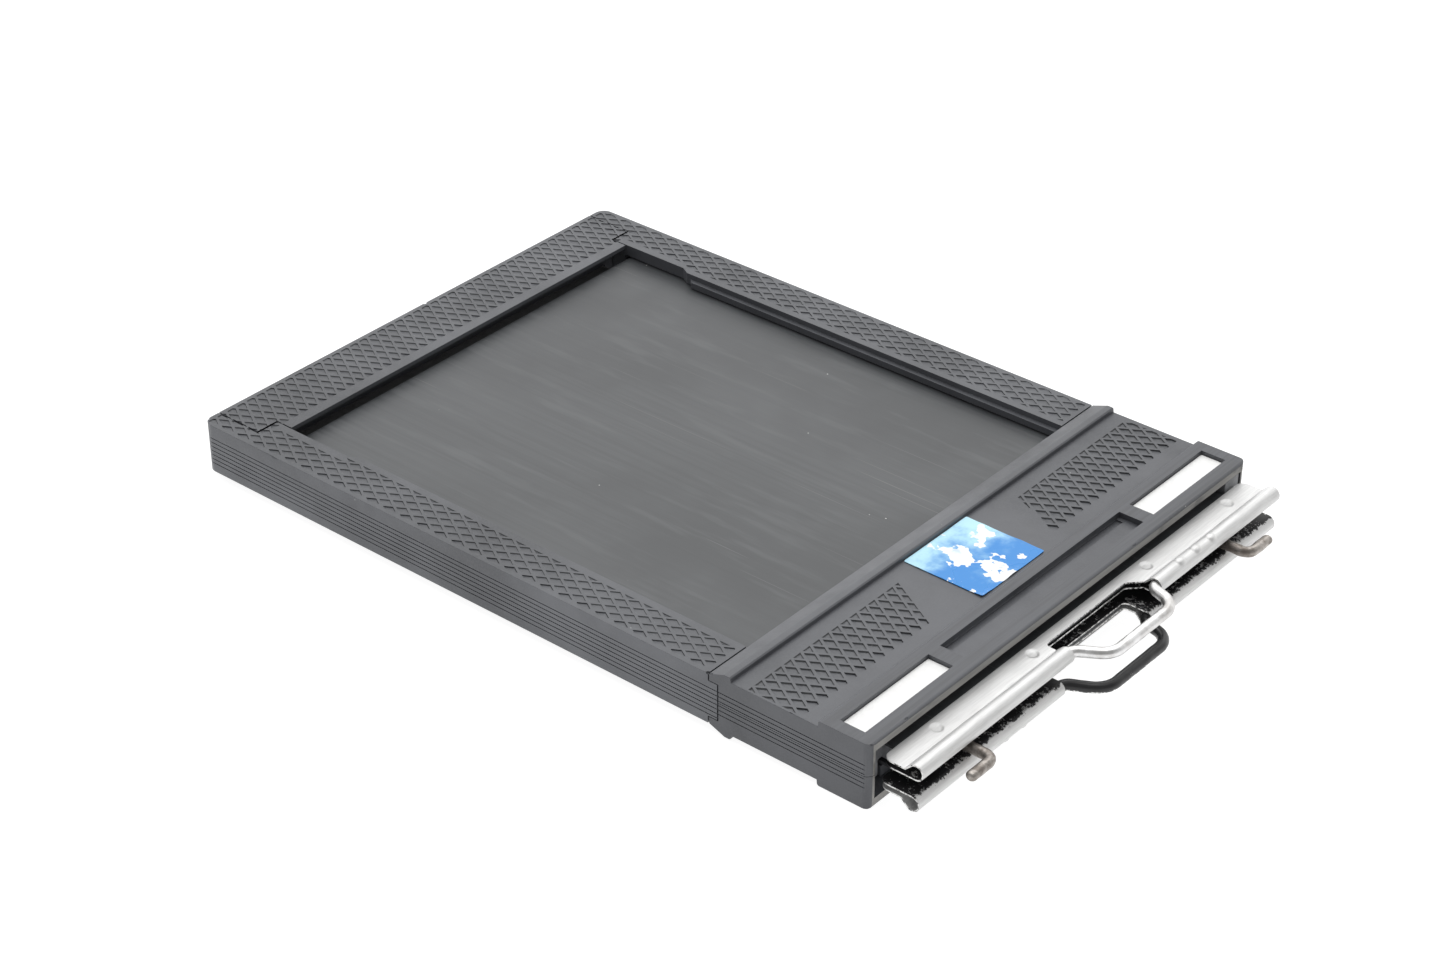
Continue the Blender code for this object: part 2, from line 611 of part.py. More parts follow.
def build_light_trap(side, sign):
    """Plush pad that wipes the slide, pressed by a bowed leaf spring above it."""
    pad = box_mesh(
        f"{side}_light_trap_plush",
        (TRAP_X0 + 0.2 * MM, -TRAP_Y, BLADE_TOP + SHEET_GAP),
        (TRAP_X1 - 0.2 * MM, TRAP_Y, FELT_TOP),
    )
    span = TRAP_X1 - TRAP_X0 - 2 * SEAM
    steps = 10
    crest = [
        (TRAP_X0 + SEAM + span * i / steps, FELT_TOP + SHEET_GAP + SPRING_BOW * sin(pi * i / steps))
        for i in range(steps + 1)
    ]
    leaf = crest + [(x, z + SPRING_SHEET) for x, z in reversed(crest)]
    spring = prism_mesh(f"{side}_light_trap_spring", leaf, -TRAP_Y + MM, TRAP_Y - MM, "Y")
    if sign < 0:
        flip_z(pad)
        flip_z(spring)
    add_object(f"{side}_light_trap_plush", pad, BODY["frame"], MATS["cloth"])
    add_object(f"{side}_light_trap_spring", spring, BODY["frame"], MATS["spring"])


def build_tabs(side, sign):
    """White writing strips let into the end bar."""
    top = END_HALF - TAB_SUNK
    for edge, (lo, hi) in zip(("near", "far"), both_sides(TAB_Y0 + SHEET_GAP, TAB_Y1 - SHEET_GAP)):
        name = f"{side}_{edge}_writing_strip"
        mesh = box_mesh(name, (TAB_X0 + SHEET_GAP, lo, top - TAB_T), (TAB_X1 - SHEET_GAP, hi, top))
        if sign < 0:
            flip_z(mesh)
        add_object(name, mesh, BODY["frame"], MATS["white"])


def build_label():
    """Plain adhesive label on the upper panel."""
    low = PANEL_HALF + 0.05 * MM
    mesh = box_mesh("upper_label", (LABEL_X0, LABEL_Y0, low), (LABEL_X1, LABEL_Y1, low + LABEL_T))
    add_object("upper_label", mesh, BODY["frame"], MATS["label"])


# ---- slides -----------------------------------------------------------------------
def build_blade(side, sign):
    """Thin dark-slide sheet with a chamfered leading edge."""
    lead = BLADE_X0 + BLADE_LEAD
    tip = BLADE_T / 5
    profile = [
        (BLADE_X0, BLADE_MID - tip), (lead, BLADE_LOW), (BLADE_X1, BLADE_LOW),
        (BLADE_X1, BLADE_TOP), (lead, BLADE_TOP), (BLADE_X0, BLADE_MID + tip),
    ]
    name = f"{side}_dark_slide"
    mesh = prism_mesh(name, profile, -BLADE_Y, BLADE_Y, "Y")
    if sign < 0:
        flip_z(mesh)
    add_object(name, mesh, BODY[f"{side}_slide"], MATS["slide"])


def handle_profile():
    """Folded handle sheet (x, z): two flanges on the blade and a roll at the outer edge."""
    top_in = BLADE_TOP + SHEET_GAP
    top_out = top_in + HANDLE_SHEET
    low_in = BLADE_LOW - SHEET_GAP
    run = ROLL_X - CREASE_X
    rise = top_out - ROLL_Z
    bearing = 180 - degrees(atan2(rise, run))
    meet = bearing - degrees(acos(ROLL_R / sqrt(run**2 + rise**2)))
    crease_in = CREASE_X + HANDLE_SHEET * tan(radians(meet - 90) / 2)
    return (
        [(HANDLE_X0, low_in), (HANDLE_X0, low_in - HANDLE_SHEET)]
        + arc((ROLL_X, ROLL_Z), ROLL_R, -90, meet, 20)
        + [(CREASE_X, top_out), (HANDLE_X0, top_out), (HANDLE_X0, top_in), (crease_in, top_in)]
        + arc((ROLL_X, ROLL_Z), ROLL_R - HANDLE_SHEET, meet, -90, 20)
    )


def handle_plan(centre):
    """Plan of a handle with its inner corners rounded."""
    r = HANDLE_CORNER_R
    y0 = centre - HANDLE_HALF
    y1 = centre + HANDLE_HALF
    x1 = ROLL_X + ROLL_R + OVERCUT
    return (
        arc((HANDLE_X0 + r, y0 + r), r, 180, 270, 6)
        + [(x1, y0), (x1, y1)]
        + arc((HANDLE_X0 + r, y1 - r), r, 90, 180, 6)
    )


def build_handle(side, sign, centre, loop_centre):
    """Sheet-metal handle folded over the blade, with a window for the wire loop."""
    name = f"{side}_handle"
    mesh = prism_mesh(name, handle_profile(), centre - HANDLE_HALF, centre + HANDLE_HALF, "Y")
    plan = prism_mesh(f"{side}_handle_plan", handle_plan(centre), -OVERCUT, 3 * ROLL_R)
    x1 = ROLL_X + ROLL_R + OVERCUT
    lo = loop_centre - LOOP_HALF
    hi = loop_centre + LOOP_HALF
    window = (
        arc((WINDOW_X0 + WINDOW_R, lo + WINDOW_R), WINDOW_R, 180, 270, 5)
        + [(x1, lo), (x1, hi)]
        + arc((WINDOW_X0 + WINDOW_R, hi - WINDOW_R), WINDOW_R, 90, 180, 5)
    )
    opening = prism_mesh(f"{side}_handle_window", window, -OVERCUT, 3 * ROLL_R)
    if sign < 0:
        for piece in (mesh, plan, opening):
            flip_z(piece)
    mat = MATS["bright"] if sign > 0 else MATS["black_paint"]
    ob = add_object(name, mesh, BODY[f"{side}_slide"], mat)
    boolean(ob, plan, "INTERSECT")
    boolean(ob, opening)
    round_shade(ob)


def fillet_path(corners, radii, steps=6):
    """Polyline through corners, each inner corner replaced by an arc-like bend of its radius."""
    path = [corners[0]]
    for before, corner, after, radius in zip(corners, corners[1:], corners[2:], radii):
        a = (before - corner).normalized()
        b = (after - corner).normalized()
        half = a.angle(b) / 2
        reach = radius / tan(half)
        start = corner + a * reach
        end = corner + b * reach
        centre = corner + (a + b).normalized() * (radius / sin(half))
        for i in range(steps + 1):
            arm = (start - centre).slerp(end - centre, i / steps)
            path.append(centre + arm.normalized() * radius)
    path.append(corners[-1])
    return path


def build_bail(side, sign, loop_centre):
    """Wire that stiffens the roll and bows out through the window as a pull loop."""
    z = sign * ROLL_Z
    corners = [
        Vector((ROLL_X, loop_centre - BAIL_HALF_RUN, z)),
        Vector((ROLL_X, loop_centre - LOOP_HALF, z)),
        Vector((LOOP_X, loop_centre - LOOP_FLAT_HALF, z)),
        Vector((LOOP_X, loop_centre + LOOP_FLAT_HALF, z)),
        Vector((ROLL_X, loop_centre + LOOP_HALF, z)),
        Vector((ROLL_X, loop_centre + BAIL_HALF_RUN, z)),
    ]
    # the bends at the roll stay inside the window, so the straight runs fit the roll
    bend = LOOP_BEND_R
    shift = bend * 0.6
    corners[1].y += shift
    corners[4].y -= shift
    name = f"{side}_wire_loop"
    bends = (bend, bend, LOOP_BROAD_R if sign > 0 else bend, bend)
    mesh = rod_mesh(name, fillet_path(corners, bends, 8), BAIL_R)
    mat = MATS["wire"] if sign > 0 else MATS["black_paint"]
    ob = add_object(name, mesh, BODY[f"{side}_slide"], mat)
    round_shade(ob)


# ---- lock hooks -----------------------------------------------------------------------
def build_hook(side, sign):
    """Bent wire catch that turns about its own stem to bar either handle."""
    x0 = HOOK_HEAD_X
    x1 = x0 + HOOK_HEAD_LENGTH
    x2 = x1 + HOOK_NECK_LENGTH
    small = 0.05 * MM
    y = sign * HOOK_Y
    stem = [(x0, HOOK_HEAD_R), (x1 - small, HOOK_HEAD_R), (x1, HOOK_NECK_R),
            (x2 - small, HOOK_NECK_R), (x2 + 0.3 * MM, HOOK_R)]
    corners = [
        Vector((x2 + MM, y, 0)), Vector((HOOK_X, y, 0)),
        Vector((HOOK_X, y + sign * HOOK_LEG, 0)),
    ]
    bend = fillet_path(corners, [HOOK_BEND_R])
    points = [Vector((x, y, 0)) for x, _ in stem] + bend
    radii = [r for _, r in stem] + [HOOK_R] * len(bend)
    name = f"{side}_lock_hook"
    mesh = rod_mesh(name, points, HOOK_R, radii)
    ob = add_object(name, mesh, BODY[f"{side}_hook"], MATS["wire"])
    round_shade(ob)


clear_scene()
PARTS = new_collection("sheet_film_holder")
CUTTERS = new_collection("cutters")
MATS = {
    "body": material("moulded_body", (0.16, 0.168, 0.18), 0.5),
    "core": material("moulded_core", (0.34, 0.35, 0.37), 0.5),
    "slide": material("slide_sheet", (0.075, 0.077, 0.082), 0.45),
    "plate": material("black_plate", (0.03, 0.03, 0.032), 0.5, 0.6),
    "cloth": material("black_cloth", (0.02, 0.02, 0.022), 0.95),
    "spring": material("spring_strip", (0.55, 0.42, 0.24), 0.35, 1.0),
    "bright": material("bright_handle", (0.82, 0.83, 0.84), 0.28, 1.0),
    "wire": material("wire_steel", (0.5, 0.47, 0.43), 0.35, 1.0),
    "black_paint": material("black_paint", (0.03, 0.03, 0.033), 0.35),
    "white": material("writing_strip_white", (0.82, 0.82, 0.8), 0.5),
    "label": material("label_blue", (0.08, 0.36, 0.68), 0.4),
}
HOLDER = add_empty("film_holder_origin", (-X_MAX / 2, 0.0, END_HALF))
HOLDER["holder_origin"] = (0.0, 0.0, 0.0)
BODY = {
    "frame": HOLDER,
    "flap": add_empty("flap_hinge_axis", (HINGE_X, 0.0, 0.0), HOLDER),
    "upper_slide": add_empty("upper_slide_axis", (HANDLE_X0, 0.0, BLADE_MID), HOLDER),
    "lower_slide": add_empty("lower_slide_axis", (HANDLE_X0, 0.0, -BLADE_MID), HOLDER),
    "near_hook": add_empty("near_hook_axis", (HOOK_HEAD_X, -HOOK_Y, 0.0), HOLDER),
    "far_hook": add_empty("far_hook_axis", (HOOK_HEAD_X, HOOK_Y, 0.0), HOLDER),
}

for edge, sign in (("near", -1), ("far", 1)):
    build_rail(edge, sign)
    build_film_guide(edge, sign)
    build_hook(edge, sign)
build_flap()
build_septum()
build_core()
for side, (sign, handle_centre, loop_centre) in SIDES.items():
    build_shell(side, sign)
    build_light_trap(side, sign)
    build_tabs(side, sign)
    build_blade(side, sign)
    build_handle(side, sign, handle_centre, loop_centre)
    build_bail(side, sign, loop_centre)
build_label()
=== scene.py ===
"""Looks of a double-sided sheet film holder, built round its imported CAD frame.

Everything is in metres in the frame of the CAD.  at(x, y, z) turns holder millimetres
into that frame: x runs from the loading-flap end towards the handles, y from the centre
line (near side negative), z from the mid-plane between the two film sides.
"""
import math

import bmesh
import bpy
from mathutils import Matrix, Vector, noise


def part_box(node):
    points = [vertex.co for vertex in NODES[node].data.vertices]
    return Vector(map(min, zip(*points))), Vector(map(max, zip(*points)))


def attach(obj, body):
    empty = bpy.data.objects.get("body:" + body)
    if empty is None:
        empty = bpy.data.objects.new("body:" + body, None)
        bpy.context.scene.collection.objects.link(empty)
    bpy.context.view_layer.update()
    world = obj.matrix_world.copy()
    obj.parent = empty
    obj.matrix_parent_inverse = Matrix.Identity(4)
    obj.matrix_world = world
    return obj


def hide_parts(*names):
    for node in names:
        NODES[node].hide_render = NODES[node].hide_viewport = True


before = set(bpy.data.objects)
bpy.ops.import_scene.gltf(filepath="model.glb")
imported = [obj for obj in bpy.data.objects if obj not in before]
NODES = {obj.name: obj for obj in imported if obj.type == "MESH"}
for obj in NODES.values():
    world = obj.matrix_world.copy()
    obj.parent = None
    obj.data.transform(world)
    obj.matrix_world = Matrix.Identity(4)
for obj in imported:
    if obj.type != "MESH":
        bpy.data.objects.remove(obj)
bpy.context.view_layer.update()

MM = 0.001
FLAP_LOW, FLAP_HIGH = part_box("loading_flap")
RAIL_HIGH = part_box("near_side_rail")[1]
BLOCK_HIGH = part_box("block_upper_shell")[1]
BLADE_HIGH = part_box("upper_dark_slide")[1]
ORIGIN_X = FLAP_LOW.x
MID_Z = (FLAP_LOW.z + FLAP_HIGH.z) / 2
HALF_W = BLOCK_HIGH.y


def at(x, y, z):
    """Holder millimetres to the frame."""
    return Vector((ORIGIN_X + x * MM, y * MM, MID_Z + z * MM))


def mm_x(x):
    """Holder millimetres from the flap end of a place in the frame."""
    return (x - ORIGIN_X) / MM


def mm_z(z):
    """Holder millimetres above the mid-plane of a place in the frame."""
    return (z - MID_Z) / MM


RAIL_TOP = mm_z(RAIL_HIGH.z)
PANEL_TOP = RAIL_TOP + 0.35
END_TOP = mm_z(BLOCK_HIGH.z)
HALF_MM = HALF_W / MM
BLOCK_END = mm_x(BLOCK_HIGH.x)

# ---- camera, light and floor ----
CAMERA_PLACE = (0.32956, -0.39979, 0.33750)
CAMERA_TURN = (57.416, -0.039, 40.042)
CAMERA_LENS = 77.06
NEAR_SIDE = (0.62, -0.76, 0.20)    # the side the holder is looked at from
SKY_FAR = 1.45
SKY_NEAR = 0.36
OVERHEAD_POWER = 8.0
SKY_BLEND = (-0.75, 0.45)         # facing values between which the sky goes from far to near
OVERHEAD_PLACE = (-0.2, 0.25, 1.1)
OVERHEAD_SIZE = 1.2
WHITE = (1.0, 1.0, 1.0, 1.0)
FLOOR_SIZE = 3.0
FLOOR_BASE = 0.30
FLOOR_GLOW = 0.90
FLOOR_DROP = 0.00005              # a hair of air under the holder


def build_camera():
    """Camera at the photograph's angle."""
    data = bpy.data.cameras.new("camera")
    data.lens = CAMERA_LENS
    data.sensor_width = 36.0
    data.clip_start = 0.01
    ob = bpy.data.objects.new("camera", data)
    bpy.context.scene.collection.objects.link(ob)
    ob.location = CAMERA_PLACE
    ob.rotation_euler = [math.radians(a) for a in CAMERA_TURN]
    bpy.context.scene.camera = ob


def area_light(name, place, aim, size, power):
    """A large soft square light."""
    data = bpy.data.lights.new(name, "AREA")
    data.shape = "SQUARE"
    data.size = size
    data.energy = power
    ob = bpy.data.objects.new(name, data)
    bpy.context.scene.collection.objects.link(ob)
    ob.location = place
    ob.rotation_euler = (Vector(aim) - Vector(place)).to_track_quat("-Z", "Y").to_euler()


def sky_gradient(world):
    """White surroundings: bright beyond the holder, dim on the side it is looked at from."""
    tree = world.node_tree
    back = tree.nodes["Background"]
    back.inputs["Color"].default_value = WHITE
    coords = tree.nodes.new("ShaderNodeTexCoord")
    facing = tree.nodes.new("ShaderNodeVectorMath")
    facing.operation = "DOT_PRODUCT"
    tree.links.new(coords.outputs["Generated"], facing.inputs[0])
    facing.inputs[1].default_value = NEAR_SIDE
    level = tree.nodes.new("ShaderNodeMapRange")
    level.interpolation_type = "SMOOTHSTEP"
    tree.links.new(facing.outputs["Value"], level.inputs["Value"])
    level.inputs["From Min"].default_value = SKY_BLEND[0]
    level.inputs["From Max"].default_value = SKY_BLEND[1]
    level.inputs["To Min"].default_value = SKY_FAR
    level.inputs["To Max"].default_value = SKY_NEAR
    tree.links.new(level.outputs["Result"], back.inputs["Strength"])


def build_floor():
    """A pale table lit evenly from within, so only contact shadows show on it."""
    bm = bmesh.new()
    bmesh.ops.create_grid(bm, x_segments=4, y_segments=4, size=FLOOR_SIZE)
    mesh = bpy.data.meshes.new("floor")
    bm.to_mesh(mesh)
    bm.free()
    floor = bpy.data.objects.new("floor", mesh)
    bpy.context.scene.collection.objects.link(floor)
    floor.location.z = -FLOOR_DROP
    mat = bpy.data.materials.new("floor_white")
    mat.use_nodes = True
    shader = mat.node_tree.nodes["Principled BSDF"]
    shader.inputs["Base Color"].default_value = (FLOOR_BASE, FLOOR_BASE, FLOOR_BASE, 1.0)
    shader.inputs["Roughness"].default_value = 0.8
    shader.inputs["Specular IOR Level"].default_value = 0.0
    shader.inputs["Emission Color"].default_value = WHITE
    shader.inputs["Emission Strength"].default_value = FLOOR_GLOW
    mesh.materials.append(mat)


def build_studio():
    """Graded white surroundings, a big soft light overhead and a pale floor."""
    world = bpy.data.worlds.new("studio")
    world.use_nodes = True
    sky_gradient(world)
    bpy.context.scene.world = world
    bpy.context.scene.view_settings.view_transform = "Standard"
    area_light("overhead", OVERHEAD_PLACE, (0, 0, 0), OVERHEAD_SIZE, OVERHEAD_POWER)
    build_floor()


# ---- material helpers ----
DUST = (0.5, 0.5, 0.48)
# pale grey on rubbed edges: real wear, and also painted highlight along the edges
EDGE_WEAR_AND_HIGHLIGHT = (0.34, 0.345, 0.35)


def shade(base, factor):
    """A colour made lighter or darker."""
    return tuple(c * factor for c in base)


class Surface:
    """A Principled material with small helpers for procedural detail."""

    def __init__(self, name, roughness=0.5, metallic=0.0):
        self.mat = bpy.data.materials.new(name)
        self.mat.use_nodes = True
        self.tree = self.mat.node_tree
        self.shader = self.tree.nodes["Principled BSDF"]
        self.shader.inputs["Roughness"].default_value = roughness
        self.shader.inputs["Metallic"].default_value = metallic
        self.coords = self.tree.nodes.new("ShaderNodeTexCoord").outputs["Object"]
        self.bumps = []

    def node(self, kind, sockets, **settings):
        """A node with its settings, and its sockets set or linked."""
        made = self.tree.nodes.new(kind)
        for key, value in settings.items():
            setattr(made, key, value)
        for key, value in sockets.items():
            self.put(made.inputs[key], value)
        return made

    def link(self, out, socket):
        self.tree.links.new(out, socket)

    def put(self, socket, value):
        """Set a socket to a number or colour, or link it to an output."""
        if isinstance(value, bpy.types.NodeSocket):
            self.link(value, socket)
        else:
            socket.default_value = value

    def place(self, scale=(1.0, 1.0, 1.0)):
        sockets = {"Vector": self.coords, "Scale": scale}
        return self.node("ShaderNodeMapping", sockets).outputs["Vector"]

    def noise(self, scale, detail=3.0, rough=0.5, stretch=(1.0, 1.0, 1.0)):
        sockets = {"Vector": self.place(stretch), "Scale": scale, "Detail": detail, "Roughness": rough}
        return self.node("ShaderNodeTexNoise", sockets).outputs["Fac"]

    def voronoi(self, scale):
        sockets = {"Vector": self.place(), "Scale": scale}
        return self.node("ShaderNodeTexVoronoi", sockets).outputs["Distance"]

    def ramp(self, value, low=0.3, high=0.7, out_low=0.0, out_high=1.0):
        """A value eased from one span to another."""
        sockets = {"Value": value, "From Min": low, "From Max": high,
                   "To Min": out_low, "To Max": out_high}
        made = self.node("ShaderNodeMapRange", sockets, clamp=True, interpolation_type="SMOOTHSTEP")
        return made.outputs["Result"]

    def math(self, operation, a, b=0.0):
        return self.node("ShaderNodeMath", {0: a, 1: b}, operation=operation).outputs[0]

    def times(self, a, b):
        return self.math("MULTIPLY", a, b)

    def plus(self, a, b):
        return self.math("ADD", a, b)

    def minus(self, a, b):
        return self.math("SUBTRACT", a, b)

    def mix(self, factor, a, b):
        """Two colours mixed by a factor."""
        made = self.node("ShaderNodeMix", {"Factor": factor}, data_type="RGBA")
        for socket, value in ((made.inputs[6], a), (made.inputs[7], b)):
            self.put(socket, (*value, 1.0) if isinstance(value, tuple) else value)
        return made.outputs[2]

    def axis(self, name):
        return self.node("ShaderNodeSeparateXYZ", {"Vector": self.coords}).outputs[name]

    def colour(self, value):
        self.put(self.shader.inputs["Base Color"], value)

    def rough(self, value):
        self.put(self.shader.inputs["Roughness"], value)

    def metal(self, value):
        self.put(self.shader.inputs["Metallic"], value)

    def dusty(self, tone):
        """Pale specks over a tone, in scattered groups."""
        specks = self.ramp(self.voronoi(330.0), 0.035, 0.05, 1.0, 0.0)
        groups = self.ramp(self.noise(95.0, 1.0), 0.66, 0.68)
        dust = self.times(specks, groups)
        return self.mix(self.times(dust, 0.6), tone, DUST)

    def bump(self, height, distance):
        """Chain one more bump layer; distance in metres."""
        sockets = {"Height": height, "Distance": distance, "Strength": 1.0}
        if self.bumps:
            sockets["Normal"] = self.bumps[-1]
        self.bumps.append(self.node("ShaderNodeBump", sockets).outputs["Normal"])
        self.link(self.bumps[-1], self.shader.inputs["Normal"])


def moulded(name, base, rough, wear_and_highlight=0.0):
    """Moulded resin: fine grain, rubbed patches, dust, and broken wear with painted highlight on its
    edges.
    """
    s = Surface(name, rough)
    grain = s.noise(2600.0, 2.0)
    blotch = s.noise(38.0, 4.0, 0.55)
    rubbed = s.ramp(s.noise(16.0, 5.0, 0.6), 0.42, 0.68)
    tone = s.mix(s.ramp(blotch), shade(base, 0.8), shade(base, 1.35))
    tone = s.mix(s.times(rubbed, 0.35), tone, shade(base, 1.5))
    tone = s.mix(s.ramp(grain, 0.3, 0.75, 0.0, 0.3), tone, shade(base, 1.6))
    # lighter broken patches on the rounded edges: partly wear, partly painted highlight
    if wear_and_highlight:
        broken = s.ramp(s.noise(420.0, 4.0, 0.65), 0.44, 0.62)
        tone = s.mix(s.times(broken, wear_and_highlight), tone, EDGE_WEAR_AND_HIGHLIGHT)
    s.colour(s.dusty(tone))
    gloss = s.times(s.ramp(blotch), -0.08)
    gloss = s.plus(gloss, s.ramp(s.noise(240.0, 3.0), 0.3, 0.7, rough, rough + 0.09))
    s.rough(gloss)
    s.bump(s.noise(3800.0, 2.0), 0.000012)
    s.bump(s.noise(120.0, 2.0), 0.00003)
    return s.mat


def slide_sheet(name):
    """Satin black sheet, rubbed lengthwise by the light trap."""
    s = Surface(name, 0.34)
    streaks = s.noise(1.0, 4.0, 0.6, stretch=(9.0, 900.0, 200.0))
    broad = s.noise(1.0, 3.0, 0.5, stretch=(14.0, 70.0, 70.0))
    cloudy = s.noise(22.0, 4.0, 0.6)
    tone = s.mix(s.ramp(streaks, 0.25, 0.75), (0.050, 0.0535, 0.0570), (0.073, 0.0775, 0.0815))
    tone = s.mix(s.ramp(broad, 0.4, 0.75, 0.0, 0.35), tone, (0.090, 0.095, 0.100))
    tone = s.mix(s.ramp(cloudy, 0.40, 0.66, 0.0, 0.6), tone, (0.040, 0.0425, 0.0455))
    patch = s.noise(1.0, 3.0, 0.6, stretch=(35.0, 260.0, 100.0))
    tone = s.mix(s.ramp(patch, 0.5, 0.72, 0.0, 0.4), tone, (0.105, 0.110, 0.115))
    scratch = s.ramp(s.noise(1.0, 1.0, 0.4, stretch=(16.0, 2300.0, 200.0)), 0.73, 0.76)
    tone = s.mix(s.times(scratch, 0.5), tone, (0.17, 0.17, 0.17))
    specks = s.ramp(s.voronoi(260.0), 0.03, 0.045, 1.0, 0.0)
    dust = s.times(specks, s.ramp(s.noise(70.0, 1.0), 0.66, 0.68))
    tone = s.mix(dust, tone, (0.55, 0.55, 0.53))
    s.colour(tone)
    s.rough(s.ramp(streaks, 0.2, 0.8, 0.30, 0.44))
    s.bump(streaks, 0.000012)
    s.bump(s.noise(30.0, 2.0), 0.00006)
    return s.mat


ENAMEL_EDGE = {1: 1.98, -1: 1.62}        # height above the mid-plane where each handle's enamel ends


def handle_finish(name, side):
    """Plated sheet, satin outside; black enamel towards the mid-plane with a ragged border."""
    s = Surface(name, 0.4)
    height = s.times(s.minus(s.axis("Z"), MID_Z), float(side))
    ragged = s.minus(s.noise(1500.0, 5.0, 0.7), 0.5)
    slow = s.minus(s.noise(260.0, 3.0), 0.5)
    level = s.minus(height, ENAMEL_EDGE[side] * MM)
    level = s.plus(level, s.times(ragged, 1.5 * MM))
    level = s.plus(level, s.times(slow, 0.9 * MM))
    bare = s.ramp(level, -0.02 * MM, 0.02 * MM)
    lines = s.noise(60.0, 4.0, 0.6, stretch=(40.0, 3.0, 40.0))
    stain = s.noise(70.0, 4.0, 0.6)
    metal = s.mix(s.ramp(lines), (0.63, 0.63, 0.625), (0.72, 0.72, 0.715))
    metal = s.mix(s.ramp(stain, 0.6, 0.8, 0.0, 0.35), metal, (0.56, 0.55, 0.54))
    pits = s.ramp(s.voronoi(900.0), 0.03, 0.06, 1.0, 0.0)
    pits = s.times(pits, s.ramp(s.noise(120.0), 0.62, 0.66))
    metal = s.mix(pits, metal, (0.16, 0.13, 0.1))
    paint = s.mix(s.ramp(s.noise(60.0, 4.0), 0.35, 0.7), (0.010, 0.010, 0.011), (0.026, 0.026, 0.028))
    chips = s.ramp(s.noise(420.0, 5.0, 0.75), 0.70, 0.72)
    bare = s.math("MAXIMUM", bare, chips)
    s.colour(s.mix(bare, paint, metal))
    s.metal(s.times(bare, 0.55))
    s.rough(s.ramp(stain, 0.3, 0.8, 0.44, 0.58))
    s.bump(s.times(bare, -1.0), 0.00002)
    s.bump(lines, 0.00001)
    return s.mat


def speckled_edge(name):
    """Cut sheet edge: bare metal with specks of old enamel."""
    s = Surface(name, 0.4)
    speck = s.ramp(s.noise(1500.0, 5.0, 0.75), 0.44, 0.5)
    s.colour(s.mix(speck, (0.03, 0.03, 0.03), (0.72, 0.72, 0.71)))
    s.metal(s.times(speck, 0.9))
    s.rough(s.ramp(s.noise(800.0), 0.3, 0.7, 0.3, 0.5))
    s.bump(speck, 0.00003)
    return s.mat


def chipped_wire(name):
    """Black enamelled wire, worn to bare metal on its outer bow."""
    s = Surface(name, 0.35)
    outer = s.minus(MID_Z - (ROLL_Z + 0.55) * MM, s.axis("Z"))
    ragged = s.minus(s.noise(1300.0, 5.0, 0.7), 0.5)
    level = s.plus(outer, s.times(ragged, 2.6 * MM))
    border = s.ramp(level, -0.02 * MM, 0.02 * MM)
    chips = s.ramp(s.noise(700.0, 5.0, 0.75), 0.68, 0.70)
    bare = s.math("MAXIMUM", border, chips)
    s.colour(s.mix(bare, (0.014, 0.014, 0.015), (0.78, 0.78, 0.77)))
    s.metal(s.times(bare, 0.9))
    s.rough(s.ramp(s.noise(500.0), 0.3, 0.7, 0.28, 0.44))
    s.bump(s.times(bare, -1.0), 0.00003)
    return s.mat


def satin_wire(name):
    """Bare plated wire with drawn lines and small dull patches."""
    s = Surface(name, 0.34, 0.92)
    patch = s.noise(420.0, 4.0, 0.65)
    tone = s.mix(s.ramp(patch), (0.62, 0.61, 0.60), (0.84, 0.84, 0.84))
    s.colour(s.mix(s.ramp(s.noise(130.0, 4.0), 0.56, 0.72, 0.0, 0.55), tone, (0.36, 0.34, 0.32)))
    s.rough(s.ramp(patch, 0.3, 0.7, 0.28, 0.42))
    s.bump(patch, 0.00002)
    return s.mat


def printed_label(name):
    """Blue sticker: a paler cloud to one side, an abstract white splash and fine print grain."""
    s = Surface(name, 0.32)
    low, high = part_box("upper_label")
    mid = ((low.x + high.x) / 2, (low.y + high.y) / 2)
    u = s.math("DIVIDE", s.minus(s.axis("X"), mid[0]), (high.x - low.x) / 2)
    v = s.math("DIVIDE", s.minus(s.axis("Y"), mid[1]), (high.y - low.y) / 2)
    drift = s.times(s.minus(s.noise(130.0, 4.0, 0.6), 0.5), 2.2)
    cloud = s.plus(s.times(u, -0.55), drift)
    tone = s.mix(s.ramp(cloud, -0.25, 0.6), (0.022, 0.25, 0.68), (0.50, 0.82, 0.95))
    splash = s.plus(s.noise(210.0, 3.0, 0.55), s.times(drift, 0.06))
    u_off = s.plus(u, -0.12)
    far = s.math("SQRT", s.plus(s.times(u_off, u_off), s.times(v, v)))
    splash = s.minus(splash, s.times(far, 0.16))
    ink = s.ramp(splash, 0.435, 0.455)
    ink = s.times(ink, s.ramp(s.noise(300.0, 3.0), 0.25, 0.4, 0.6, 1.0))
    tone = s.mix(ink, tone, (0.93, 0.96, 0.98))
    s.colour(tone)
    s.rough(s.ramp(s.noise(90.0, 3.0), 0.3, 0.7, 0.26, 0.4))
    s.bump(s.noise(150.0, 3.0), 0.00002)
    return s.mat


def end_face(name):
    """Sawn end wall of the block: paler and browner, with dark smudges."""
    s = Surface(name, 0.55)
    grain = s.noise(1.0, 4.0, 0.6, stretch=(300.0, 60.0, 700.0))
    tone = s.mix(s.ramp(grain), (0.19, 0.185, 0.175), (0.30, 0.295, 0.28))
    smudge = s.ramp(s.noise(1.0, 3.0, 0.6, stretch=(1.0, 75.0, 150.0)), 0.56, 0.68, 0.0, 0.8)
    s.colour(s.mix(smudge, tone, (0.06, 0.06, 0.062)))
    s.rough(s.ramp(grain, 0.3, 0.7, 0.45, 0.65))
    s.bump(grain, 0.00004)
    return s.mat


